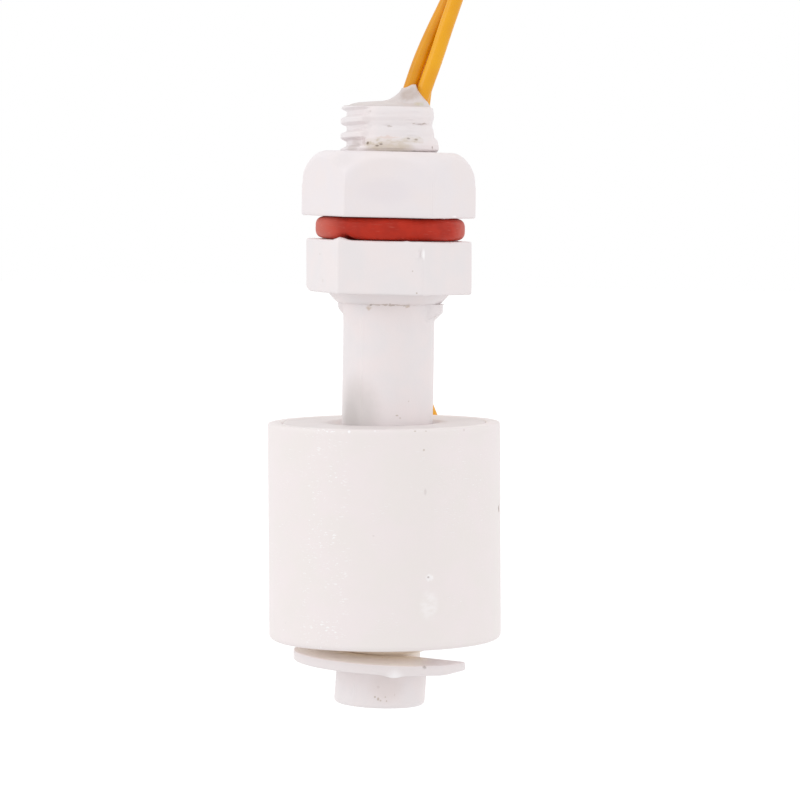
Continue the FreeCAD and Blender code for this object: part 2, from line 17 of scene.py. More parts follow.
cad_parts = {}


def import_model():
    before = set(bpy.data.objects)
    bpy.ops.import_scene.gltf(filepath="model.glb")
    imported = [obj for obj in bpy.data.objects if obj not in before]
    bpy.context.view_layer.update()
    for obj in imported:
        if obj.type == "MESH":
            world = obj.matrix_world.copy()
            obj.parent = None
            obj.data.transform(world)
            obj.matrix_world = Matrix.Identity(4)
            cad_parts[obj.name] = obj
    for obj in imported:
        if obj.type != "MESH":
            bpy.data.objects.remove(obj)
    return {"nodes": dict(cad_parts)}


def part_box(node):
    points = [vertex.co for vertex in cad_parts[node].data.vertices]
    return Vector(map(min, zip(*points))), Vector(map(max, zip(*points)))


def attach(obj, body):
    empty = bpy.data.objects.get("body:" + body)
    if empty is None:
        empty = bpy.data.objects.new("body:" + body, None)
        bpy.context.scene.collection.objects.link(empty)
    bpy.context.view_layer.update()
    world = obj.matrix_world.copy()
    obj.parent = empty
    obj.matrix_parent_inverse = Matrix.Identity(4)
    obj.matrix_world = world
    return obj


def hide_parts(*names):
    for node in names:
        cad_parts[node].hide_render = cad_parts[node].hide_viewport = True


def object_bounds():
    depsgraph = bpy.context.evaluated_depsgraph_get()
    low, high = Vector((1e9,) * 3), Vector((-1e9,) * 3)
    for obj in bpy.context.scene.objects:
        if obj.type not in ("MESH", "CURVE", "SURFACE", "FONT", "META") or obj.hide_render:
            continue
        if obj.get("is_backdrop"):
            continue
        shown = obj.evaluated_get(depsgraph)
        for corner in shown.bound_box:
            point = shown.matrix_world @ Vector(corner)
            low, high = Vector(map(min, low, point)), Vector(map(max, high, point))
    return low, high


MM = 0.001
LOG = logging.getLogger("float_switch")

Tint: TypeAlias = tuple[float, float, float]
Point: TypeAlias = tuple[float, float, float]
Number: TypeAlias = "float | Value"


def tint(red: float, green: float, blue: float) -> Tint:
    """Turns a display colour, 0 to 255 a channel, into the linear one that a shader takes.

    Args:
        red: The red channel.
        green: The green channel.
        blue: The blue channel.

    Returns:
        The linear colour.
    """
    shares = (channel / 255.0 for channel in (red, green, blue))
    return tuple(c / 12.92 if c <= 0.04045 else ((c + 0.055) / 1.055) ** 2.4 for c in shares)


# ---------------------------------------------------------------------------------------------
# Shader maths
# ---------------------------------------------------------------------------------------------


class Value:
    """A number that shader nodes work out. Arithmetic on it adds Math nodes."""

    def __init__(self, shader: "Shader", socket: bpy.types.NodeSocket) -> None:
        """Wraps an output socket that carries a number."""
        self.shader = shader
        self.socket = socket

    def apply(self, operation: str, *inputs: Number) -> "Value":
        """Adds a Math node.

        Args:
            operation: The node's operation.
            inputs: Its inputs in order, numbers or values.

        Returns:
            The node's result.
        """
        node = self.shader.node("ShaderNodeMath", {"operation": operation}, dict(enumerate(inputs)))
        return Value(self.shader, node.outputs[0])

    def __add__(self, other: Number) -> "Value":
        """The sum."""
        return self.apply("ADD", self, other)

    __radd__ = __add__

    def __sub__(self, other: Number) -> "Value":
        """The difference."""
        return self.apply("SUBTRACT", self, other)

    def __rsub__(self, other: Number) -> "Value":
        """The difference, from a plain number."""
        return self.apply("SUBTRACT", other, self)

    def __mul__(self, other: Number) -> "Value":
        """The product."""
        return self.apply("MULTIPLY", self, other)

    __rmul__ = __mul__

    def __truediv__(self, other: Number) -> "Value":
        """The quotient."""
        return self.apply("DIVIDE", self, other)

    def __pow__(self, power: Number) -> "Value":
        """The power."""
        return self.apply("POWER", self, power)

    def least(self, other: Number) -> "Value":
        """The smaller of two."""
        return self.apply("MINIMUM", self, other)

    def most(self, other: Number) -> "Value":
        """The larger of two."""
        return self.apply("MAXIMUM", self, other)

    def eased(self, low: float, high: float) -> "Value":
        """A smooth step.

        Args:
            low: Where the step is 0.
            high: Where it is 1. It may be below low, which turns the step round.

        Returns:
            A number from 0 to 1.
        """
        start, end, first, last = (low, high, 0.0, 1.0) if low < high else (high, low, 1.0, 0.0)
        node = self.shader.node(
            "ShaderNodeMapRange", {"interpolation_type": "SMOOTHSTEP"},
            {"Value": self, "From Min": start, "From Max": end, "To Min": first, "To Max": last})
        return Value(self.shader, node.outputs[0])


class Field:
    """A colour or a vector that shader nodes work out."""

    def __init__(self, shader: "Shader", socket: bpy.types.NodeSocket) -> None:
        """Wraps an output socket that carries a colour or a vector."""
        self.shader = shader
        self.socket = socket

    def apply(self, operation: str, sockets: dict) -> bpy.types.Node:
        """Adds a Vector Math node, with what its sockets hold, and returns it."""
        return self.shader.node("ShaderNodeVectorMath", {"operation": operation}, sockets)

    def __add__(self, other: "Field | Point") -> "Field":
        """The sum of two vectors."""
        return Field(self.shader, self.apply("ADD", {0: self, 1: other}).outputs["Vector"])

    def __sub__(self, other: "Field | Point") -> "Field":
        """The difference of two vectors."""
        return Field(self.shader, self.apply("SUBTRACT", {0: self, 1: other}).outputs["Vector"])

    def __mul__(self, other: "Point | float") -> "Field":
        """Scales the vector.

        Args:
            other: The number, or one for each axis.

        Returns:
            The scaled vector.
        """
        if isinstance(other, tuple):
            return Field(self.shader, self.apply("MULTIPLY", {0: self, 1: other}).outputs["Vector"])
        return Field(self.shader, self.apply("SCALE", {0: self, "Scale": other}).outputs["Vector"])

    __rmul__ = __mul__

    def length(self) -> Value:
        """The vector's length."""
        return Value(self.shader, self.apply("LENGTH", {0: self}).outputs["Value"])

    def axes(self) -> tuple[Value, Value, Value]:
        """The vector's three parts."""
        node = self.shader.node("ShaderNodeSeparateXYZ", {}, {0: self})
        return tuple(Value(self.shader, output) for output in node.outputs)

    def towards(self, other: "Field | Tint", share: Number) -> "Field":
        """Mixes this colour with another.

        Args:
            other: The other colour.
            share: How much of the other there is, from 0 to 1.

        Returns:
            The mixed colour.
        """
        return self.shader.mixed(self, other, share)


class Shader:
    """A node tree that is being built, and the one way in which nodes are added to it."""

    COLOUR_A = 6
    COLOUR_B = 7
    COLOUR_OUT = 2

    def __init__(self, tree: bpy.types.NodeTree) -> None:
        """Empties the tree."""
        self.tree = tree
        self.tree.nodes.clear()

    def node(self, kind: str, settings: dict, sockets: dict) -> bpy.types.Node:
        """Adds a node.

        Args:
            kind: The node's type.
            settings: Its own settings, which are set first.
            sockets: What each input holds, by name or place: a number, a tuple, a value, a field
                or another node's output.

        Returns:
            The node.
        """
        made = self.tree.nodes.new(kind)
        for name, setting in settings.items():
            setattr(made, name, setting)
        for name, content in sockets.items():
            socket = made.inputs[name]
            if isinstance(content, (Value, Field)):
                self.tree.links.new(content.socket, socket)
            elif isinstance(content, bpy.types.NodeSocket):
                self.tree.links.new(content, socket)
            elif isinstance(content, tuple) and len(socket.default_value) == 4:
                socket.default_value = (*content, 1.0)
            else:
                socket.default_value = content
        return made

    def mixed(self, first: "Field | Tint", second: "Field | Tint", share: Number) -> Field:
        """Mixes two colours.

        Args:
            first: One colour.
            second: The other.
            share: How much of the second there is, from 0 to 1.

        Returns:
            The mixed colour.
        """
        node = self.node("ShaderNodeMix", {"data_type": "RGBA"},
                         {0: share, self.COLOUR_A: first, self.COLOUR_B: second})
        return Field(self, node.outputs[self.COLOUR_OUT])

    def place(self) -> Field:
        """The point being shaded, in millimetres in the object's own frame."""
        node = self.node("ShaderNodeTexCoord", {}, {})
        return Field(self, node.outputs["Object"]) * (1 / MM)

    def cloud(self, place: Field, size: float, detail: float = 2.0) -> Value:
        """Soft noise.

        Args:
            place: Where it is looked up, in millimetres.
            size: The size of its patches, in millimetres.
            detail: How many finer layers it has.

        Returns:
            A number about 0.5.
        """
        node = self.node("ShaderNodeTexNoise", {}, {"Vector": place, "Scale": 1 / size, "Detail": detail})
        return Value(self, node.outputs[0])

    def drift(self, place: Field, size: float, reach: float) -> Field:
        """Pushes a place about by noise, which makes what is drawn with it uneven.

        Args:
            place: The place.
            size: The size of the noise's patches, in millimetres.
            reach: How far it pushes, in millimetres.

        Returns:
            The pushed place.
        """
        node = self.node("ShaderNodeTexNoise", {}, {"Vector": place, "Scale": 1 / size, "Detail": 2.0})
        return place + (Field(self, node.outputs[1]) - (0.5, 0.5, 0.5)) * reach

    def bump(self, height: Value, depth: float, under: "Field | None" = None) -> Field:
        """Turns a height from 0 to 1 into a normal.

        Args:
            height: The height.
            depth: How deep 1 is, in millimetres.
            under: The normal that it is laid over.

        Returns:
            The normal.
        """
        sockets = {"Height": height, "Distance": depth * MM, "Strength": 1.0}
        if under is not None:
            sockets["Normal"] = under
        return Field(self, self.node("ShaderNodeBump", {}, sockets).outputs[0])

    def surface(self, sockets: dict) -> None:
        """Adds the Principled shader, with what its sockets hold, and the output."""
        principled = self.node("ShaderNodeBsdfPrincipled", {}, sockets)
        self.node("ShaderNodeOutputMaterial", {}, {"Surface": principled.outputs[0]})


def new_shader(name: str) -> tuple[bpy.types.Material, Shader]:
    """Starts a material.

    Args:
        name: Its name.

    Returns:
        The material and its empty node tree.
    """
    material = bpy.data.materials.new(name)
    material.use_nodes = True
    return material, Shader(material.node_tree)


# ---------------------------------------------------------------------------------------------
# Finishes
# ---------------------------------------------------------------------------------------------


@dataclass(frozen=True)
class Mark:
    """A stain, fleck or scuff, or a painted highlight or painted shade, on a round surface, in millimetres.

    Attributes:
        azimuth: Where it is round the axis, in degrees.
        height: Where it is along the axis.
        reach: The surface's radius there.
        size: Its radius.
        colour: Its colour.
        strength: How much of its colour shows.
        tall: How many times taller than wide it is.
        broken: How broken up it is, from 0, a soft patch, to 1, blots.
    """

    azimuth: float
    height: float
    reach: float
    size: float
    colour: Tint
    strength: float = 0.8
    tall: float = 1.0
    broken: float = 0.0

    def centre(self) -> Point:
        """Its centre."""
        turn = math.radians(self.azimuth)
        return (self.reach * math.sin(turn), -self.reach * math.cos(turn), self.height)


def specks(reach: float, colour: Tint, *rows: tuple[float, ...]) -> tuple[Mark, ...]:
    """Makes marks of one colour at one radius.

    Args:
        reach: The surface's radius there.
        colour: Their colour.
        rows: For each one its azimuth, height, size and strength, then how many times taller than wide
            it is where it isn't round.

    Returns:
        The marks.
    """
    return tuple(Mark(azimuth, height, reach, size, colour, *rest) for azimuth, height, size, *rest in rows)


@dataclass(frozen=True)
class PaintedGlintBand:
    """An upright band of painted glints, light flecks on the side of a round surface that faces the light.

    Attributes:
        azimuth: Its middle, in degrees.
        half_width: How far it reaches either side, in degrees.
        strength: How much of the painted glints' colour shows.
    """

    azimuth: float
    half_width: float
    strength: float

    DASH_STRETCH = (1.3, 1.3, 3.4)
    DASH_SIZE = 0.52

    def share(self, shader: Shader, place: Field) -> Value:
        """Works out how much painted glint there is: short level dashes, in patches, within the band.

        Args:
            shader: The tree that it is worked out in.
            place: The place, in millimetres.

        Returns:
            The flecks' share of the colour.
        """
        turn = math.radians(self.azimuth)
        across, deep, _ = place.axes()
        facing = across * math.sin(turn) - deep * math.cos(turn)
        facing = facing / (across * across + deep * deep) ** 0.5
        edge, full = (math.cos(math.radians(self.half_width * part)) for part in (1.0, 0.35))
        band = facing.eased(edge, full)
        dashes = shader.cloud(place * self.DASH_STRETCH, self.DASH_SIZE, 1.0).eased(0.62, 0.71)
        return dashes * band * shader.cloud(place, 2.2).eased(0.36, 0.6) * self.strength


@dataclass(frozen=True)
class Moulded:
    """Moulded plastic or cast resin, with cloudy colour, fine scuffs and marks.

    Attributes:
        name: The material's name.
        colour: Its main colour.
        shade: The colour that its clouds drift to.
        roughness: Its mean roughness.
        grain: The depth of its fine grain, in millimetres.
        grain_size: The size of that grain, in millimetres.
        scuffs: How strong its light scuffs are, from 0 to 1.
        marks: Its marks, stains and specks as well as painted highlights and painted shade.
        glints: Its band of painted glints, if it has one.
    """

    name: str
    colour: Tint
    shade: Tint
    roughness: float = 0.42
    grain: float = 0.004
    grain_size: float = 0.35
    scuffs: float = 0.0
    marks: tuple[Mark, ...] = ()
    glints: PaintedGlintBand | None = None

    CLOUD_SIZE = 3.2
    ROUGH_SPREAD = 0.16
    SPECK = 0.28
    SCUFF_AND_GLINT_COLOUR = tint(255, 254, 254)
    SCUFF_STRETCH = (1.4, 1.4, 9.0)
    SCUFF_DEPTH = 0.012
    BLOT_STRETCH = (1.0, 1.0, 2.0)

    def marked(self, shader: Shader, place: Field, colour: Field) -> Field:
        """Lays the marks over a colour. Only those larger than a speck get an uneven outline.

        Args:
            shader: The tree that it is done in.
            place: The place, in millimetres.
            colour: The colour under the marks.

        Returns:
            The marked colour.
        """
        uneven = shader.drift(place, 0.5, 0.5)
        blots = shader.cloud(place * self.BLOT_STRETCH, 0.8, 4.0).eased(0.38, 0.62)
        for mark in self.marks:
            around = uneven if mark.size > self.SPECK else place
            offset = (around - mark.centre()) * (1.0, 1.0, 1 / mark.tall)
            overlay = offset.length().eased(mark.size, mark.size * 0.35) * mark.strength
            if mark.broken:
                overlay = overlay * (blots * mark.broken + (1 - mark.broken))
            colour = colour.towards(mark.colour, overlay)
        return colour

    def material(self) -> bpy.types.Material:
        """Builds the material.

        Returns:
            The material.
        """
        material, shader = new_shader(self.name)
        place = shader.place()
        clouds = shader.cloud(place, self.CLOUD_SIZE).eased(0.3, 0.7)
        colour = shader.mixed(self.colour, self.shade, clouds)
        rough = shader.cloud(place, 1.1, 3.0) * self.ROUGH_SPREAD + (self.roughness - self.ROUGH_SPREAD / 2)
        grain = shader.bump(shader.cloud(place, self.grain_size, 3.0), self.grain)
        if self.scuffs:
            lines = shader.cloud(place * self.SCUFF_STRETCH, 0.8, 4.0).eased(0.62, 0.74)
            patches = shader.cloud(place, 4.5).eased(0.5, 0.66)
            scuff = lines * patches * self.scuffs
            colour = colour.towards(self.SCUFF_AND_GLINT_COLOUR, scuff)
            rough = rough + scuff * 0.2
            grain = shader.bump(lines * patches, self.SCUFF_DEPTH * self.scuffs, grain)
        if self.glints:
            # Painted glints: white dashes in a band on the side facing the light.
            colour = colour.towards(self.SCUFF_AND_GLINT_COLOUR, self.glints.share(shader, place))
        if self.marks:
            colour = self.marked(shader, place, colour)
        shader.surface({"Base Color": colour, "Roughness": rough, "Normal": grain, "IOR": 1.49})
        return material


@dataclass(frozen=True)
class Rubber:
    """Silicone rubber, dusty in streaks, with a painted sheen that lightens its left and right ends."""

    name: str = "red_silicone"
    colour: Tint = tint(186, 44, 22)
    shade: Tint = tint(172, 40, 22)
    dust_and_sheen: Tint = tint(214, 116, 100)

    def material(self) -> bpy.types.Material:
        """Builds the material.

        Returns:
            The material.
        """
        material, shader = new_shader(self.name)
        place = shader.place()
        colour = shader.mixed(self.colour, self.shade, shader.cloud(place, 1.6).eased(0.35, 0.65))
        across, _, _ = place.axes()
        streaks = shader.cloud(place * (1.0, 1.0, 7.0), 0.9, 4.0).eased(0.58, 0.76)
        # Painted sheen: the ring's left and right ends are lighter, over the dust streaks.
        sheen_left = (across * -1.0).eased(3.8, 7.3)
        sheen_right = across.eased(6.2, 7.6)
        dust_and_sheen = streaks * 0.22 + sheen_left * 0.6 + sheen_right * 0.4
        colour = colour.towards(self.dust_and_sheen, dust_and_sheen.least(1.0))
        fine = shader.bump(shader.cloud(place, 0.22, 3.0), 0.006)
        normal = shader.bump(streaks, 0.01, fine)
        shader.surface({"Base Color": colour, "Roughness": shader.cloud(place, 0.8) * 0.2 + 0.42,
                        "Normal": normal, "IOR": 1.42, "Specular IOR Level": 0.3})
        return material


@dataclass(frozen=True)
class Insulation:
    """Extruded PVC, smooth, with faint die lines and colour that drifts along the lead."""

    name: str
    colour: Tint
    shade: Tint

    def material(self) -> bpy.types.Material:
        """Builds the material.

        Returns:
            The material.
        """
        material, shader = new_shader(self.name)
        place = shader.place()
        drifted = shader.cloud(place, 2.4).eased(0.3, 0.7)
        colour = shader.mixed(self.colour, self.shade, drifted)
        lines = shader.cloud(place * (5.0, 5.0, 0.5), 0.9, 2.0)
        shader.surface({"Base Color": colour, "Roughness": shader.cloud(place, 0.9) * 0.14 + 0.27,
                        "Normal": shader.bump(lines, 0.006), "IOR": 1.53, "Specular IOR Level": 0.35})
        return material


@dataclass(frozen=True)
class Metal:
    """Bare metal, drawn or tinned."""

    name: str
    colour: Tint
    shade: Tint
    roughness: float = 0.3
    stretch: Point = (1.0, 1.0, 1.0)

    def material(self) -> bpy.types.Material:
        """Builds the material.

        Returns:
            The material.
        """
        material, shader = new_shader(self.name)
        place = shader.place()
        streaks = shader.cloud(place * self.stretch, 0.35, 3.0)
        colour = shader.mixed(self.colour, self.shade, streaks.eased(0.35, 0.65))
        shader.surface({"Base Color": colour, "Metallic": 1.0,
                        "Roughness": streaks * 0.25 + (self.roughness - 0.12),
                        "Normal": shader.bump(streaks, 0.006)})
        return material


@dataclass(frozen=True)
class Glass:
    """The reed switch's capsule, green as such glass is."""

    name: str = "capsule_glass"
    colour: Tint = tint(206, 226, 196)

    def material(self) -> bpy.types.Material:
        """Builds the material.

        Returns:
            The material.
        """
        material, shader = new_shader(self.name)
        place = shader.place()
        seeds = shader.cloud(place, 0.6, 3.0)
        shader.surface({"Base Color": shader.mixed(self.colour, (1.0, 1.0, 1.0), seeds * 0.3),
                        "Roughness": seeds * 0.06 + 0.02, "Transmission Weight": 1.0, "IOR": 1.5})
        return material


# ---------------------------------------------------------------------------------------------
# Meshes
# ---------------------------------------------------------------------------------------------


def eased(low: float, high: float, where: np.ndarray | float) -> np.ndarray | float:
    """A smooth step.

    Args:
        low: Where the step is 0.
        high: Where it is 1.
        where: The places at which it is wanted.

    Returns:
        A number from 0 to 1 for each place.
    """
    share = np.clip((np.asarray(where, float) - low) / (high - low), 0.0, 1.0)
    return share * share * (3 - 2 * share)


def hump(middle: float, width: float, where: np.ndarray | float) -> np.ndarray | float:
    """A round hump of height 1.

    Args:
        middle: Where it is highest.
        width: How far it reaches either side.
        where: The places at which it is wanted.

    Returns:
        A number from 0 to 1 for each place.
    """
    return 1 - eased(0.0, 1.0, np.abs(np.asarray(where, float) - middle) / width)


def counted_from(azimuths: np.ndarray, middle: float) -> np.ndarray:
    """Each azimuth counted from a middle one, from -180 to 180."""
    return (azimuths - middle + 180.0) % 360.0 - 180.0


def soft_least(first: np.ndarray, second: np.ndarray, blend: float) -> np.ndarray:
    """The smaller of two radii, rounded where they cross.

    Args:
        first: One radius at each azimuth.
        second: The other.
        blend: About how far the rounding reaches.

    Returns:
        The radius at each azimuth.
    """
    share = np.clip(0.5 + 0.5 * (second - first) / blend, 0.0, 1.0)
    return second + (first - second) * share - blend * share * (1 - share)


def hexagon(azimuths: np.ndarray, across_flats: float, corner: float, turn: float) -> np.ndarray:
    """The radius of a hexagon with round corners.

    Args:
        azimuths: The azimuths at which it is wanted.
        across_flats: Its size across flats.
        corner: The radius of its corners.
        turn: The azimuth that one flat faces.

    Returns:
        The radius at each azimuth.
    """
    flat = across_flats / 2
    off_flat = np.radians((azimuths - turn + 30.0) % 60.0 - 30.0)
    off_corner = math.radians(30.0) - np.abs(off_flat)
    middle = (flat - corner) / math.cos(math.radians(30.0))
    limit = math.atan2(corner * 0.5, middle + corner * math.cos(math.radians(30.0)))
    inside = np.maximum(corner ** 2 - (middle * np.sin(off_corner)) ** 2, 0.0)
    rounded = middle * np.cos(off_corner) + np.sqrt(inside)
    return np.where(off_corner < limit, rounded, flat / np.cos(off_flat))


def ripple(azimuths: np.ndarray, fineness: float, level: float) -> np.ndarray:
    """Smooth noise round a circle.

    Args:
        azimuths: The azimuths at which it is wanted.
        fineness: How fine it is: the radius of the circle that it is looked up on.
        level: The height of that circle.

    Returns:
        A number from -1 to 1 for each azimuth.
    """
    return np.array([noise.noise(Vector((math.sin(turn) * fineness, math.cos(turn) * fineness, level)))
                     for turn in np.radians(azimuths)])


@dataclass(frozen=True)
class Flaw:
    """A burr or a dent on a round surface.

    Attributes:
        azimuth: Its middle round the axis, in degrees.
        width: How far it reaches either side, in degrees.
        height: Its middle along the axis, in millimetres.
        spread: How far it reaches up and down, in millimetres.
        depth: What it adds to the radius, in millimetres. A dent's is below 0.
    """

    azimuth: float
    width: float
    height: float
    spread: float
    depth: float


def flawed(flaws: tuple[Flaw, ...], azimuths: np.ndarray, height: float) -> np.ndarray:
    """Adds up what flaws do to a radius.

    Args:
        flaws: The flaws.
        azimuths: The azimuths at which it is wanted.
        height: The height at which it is wanted.

    Returns:
        The change of radius at each azimuth.
    """
    total = 0 * azimuths
    for flaw in flaws:
        around = hump(0.0, flaw.width, counted_from(azimuths, flaw.azimuth))
        total = total + flaw.depth * around * hump(flaw.height, flaw.spread, height)
    return total


def strip(low: int, high: int, count: int) -> list[tuple[int, ...]]:
    """Makes the faces between two closed rows of points.

    Args:
        low: The first point of one row.
        high: The first point of the other.
        count: The number of points in each.

    Returns:
        The faces.
    """
    return [(low + k, low + (k + 1) % count, high + (k + 1) % count, high + k) for k in range(count)]


def fan(tip: int, row: int, count: int, turned: bool) -> list[tuple[int, ...]]:
    """Makes the faces between a closed row of points and a tip.

    Args:
        tip: The tip.
        row: The first point of the row.
        count: The number of points in the row.
        turned: Whether the faces run round the other way.

    Returns:
        The faces.
    """
    sides = [(row + k, row + (k + 1) % count) for k in range(count)]
    return [(tip, after, before) if turned else (tip, before, after) for before, after in sides]


def add_mesh(name: str, points: np.ndarray, faces: list, sharp: float = 40.0) -> bpy.types.Object:
    """Makes an object of points in millimetres.

    Args:
        name: Its name.
        points: Its vertices.
        faces: Its faces.
        sharp: The angle in degrees above which an edge is drawn sharp.

    Returns:
        The object.
    """
    mesh = bpy.data.meshes.new(name)
    mesh.from_pydata((np.asarray(points) * MM).tolist(), [], faces)
    mesh.validate()
    mesh.shade_smooth()
    mesh.set_sharp_from_angle(angle=math.radians(sharp))
    made = bpy.data.objects.new(name, mesh)
    bpy.context.scene.collection.objects.link(made)
    return made


class Lathe:
    """Rows of points round the Z axis that together make one closed skin."""

    def __init__(self, azimuths: np.ndarray) -> None:
        """Starts with no rows, at these azimuths in degrees."""
        self.azimuths = azimuths
        self.rows: list[np.ndarray] = []

    def signed(self) -> np.ndarray:
        """The azimuths from -180 to 180."""
        return counted_from(self.azimuths, 0.0)

    def row(self, radius: np.ndarray | float, height: np.ndarray | float) -> None:
        """Adds a row.

        Args:
            radius: Its radius, one for all azimuths or one for each.
            height: Its height, in the same way.
        """
        turn = np.radians(self.azimuths)
        radii = radius + 0 * turn
        heights = height + 0 * turn
        self.rows.append(np.stack([radii * np.sin(turn), -radii * np.cos(turn), heights], axis=1))

    def bend(self, radius: float, start: tuple[float, float], first: float, last: float,
             steps: int) -> None:
        """Adds the rows of a rounded edge.

        Args:
            radius: The edge's radius.
            start: The centre of its round, as a radius and a height.
            first: The angle of its first row, in degrees above outwards.
            last: The angle of its last row.
            steps: The number of rows, less one.
        """
        for step in range(steps + 1):
            angle = math.radians(first + (last - first) * step / steps)
            self.row(start[0] + radius * math.cos(angle), start[1] + radius * math.sin(angle))

    def build(self, name: str, loop: bool, sharp: float = 40.0) -> bpy.types.Object:
        """Joins the rows.

        Args:
            name: The object's name.
            loop: Whether the last row joins the first. If not, both ends are closed at the axis.
            sharp: The angle in degrees above which an edge is drawn sharp.

        Returns:
            The object.
        """
        count = len(self.azimuths)
        points = np.concatenate(self.rows)
        total = len(self.rows)
        faces = []
        for i in range(total if loop else total - 1):
            faces += strip(i * count, (i + 1) % total * count, count)
        if not loop:
            poles = [np.array([0.0, 0.0, self.rows[end][:, 2].mean()]) for end in (0, -1)]
            first, last = len(points), len(points) + 1
            points = np.concatenate([points, np.array(poles)])
            faces += fan(first, 0, count, turned=True)
            faces += fan(last, (total - 1) * count, count, turned=False)
        return outward(add_mesh(name, points, faces, sharp))


def outward(made: bpy.types.Object) -> bpy.types.Object:
    """Turns a closed mesh's faces outwards together, by the sign of its volume.

    Args:
        made: The object.

    Returns:
        The object.
    """
    mesh = made.data
    corners = np.zeros(len(mesh.vertices) * 3)
    mesh.vertices.foreach_get("co", corners)
    corners = corners.reshape(-1, 3)
    mesh.calc_loop_triangles()
    triangles = np.zeros(len(mesh.loop_triangles) * 3, int)
    mesh.loop_triangles.foreach_get("vertices", triangles)
    a, b, c = (corners[triangles.reshape(-1, 3)[:, k]] for k in range(3))
    if np.einsum("ij,ij->i", a, np.cross(b, c)).sum() < 0:
        mesh.flip_normals()
    return made


def even(count: int) -> np.ndarray:
    """A number of azimuths evenly round the turn."""
    return np.arange(count) * 360.0 / count


def with_corners(turn: float) -> np.ndarray:
    """Azimuths that crowd towards the corners of a hexagon.

    Args:
        turn: The azimuth that one of its flats faces.

    Returns:
        The azimuths, in order.
    """
    near = [0.0, 0.35, 0.7, 1.1, 1.6, 2.4, 3.6, 5.2] + [7.0 + 2.0 * i for i in range(10)] + [27.5]
    offsets = sorted({o for n in near for o in (n, 60.0 - n)} - {60.0} | {30.0})
    return np.array([turn + 30.0 + 60.0 * side + offset for side in range(6) for offset in offsets])


def finish_piece(piece: bpy.types.Object, body: str, slot: str, material: bpy.types.Material,
                 *nodes: str) -> bpy.types.Object:
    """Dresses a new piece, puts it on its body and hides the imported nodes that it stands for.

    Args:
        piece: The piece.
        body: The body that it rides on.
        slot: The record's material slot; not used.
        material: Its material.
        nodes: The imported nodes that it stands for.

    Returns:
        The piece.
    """
    piece.data.materials.clear()
    piece.data.materials.append(material)
    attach(piece, body)
    if nodes:
        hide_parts(*nodes)
    LOG.info("%s rides on %s", piece.name, body)
    return piece


# ---------------------------------------------------------------------------------------------
# Camera, lamps and floor
# ---------------------------------------------------------------------------------------------


@dataclass(frozen=True)
class Lamp:
    """A soft square lamp. Its level is the share of full light that it gives a surface facing it."""

    name: str
    place: Point
    side: float
    level: float
    colour: Tint = (1.0, 1.0, 1.0)

    def add(self, aim: Vector) -> None:
        """Hangs the lamp.

        Args:
            aim: The point that it faces, in metres.
        """
        data = bpy.data.lights.new(self.name, "AREA")
        data.shape = "SQUARE"
        data.size = self.side
        data.color = self.colour
        way = aim - Vector(self.place)
        data.energy = self.level * math.pi ** 2 * way.length_squared
        lamp = bpy.data.objects.new(self.name, data)
        lamp.location = self.place
        lamp.rotation_euler = way.to_track_quat("-Z", "Y").to_euler()
        bpy.context.scene.collection.objects.link(lamp)


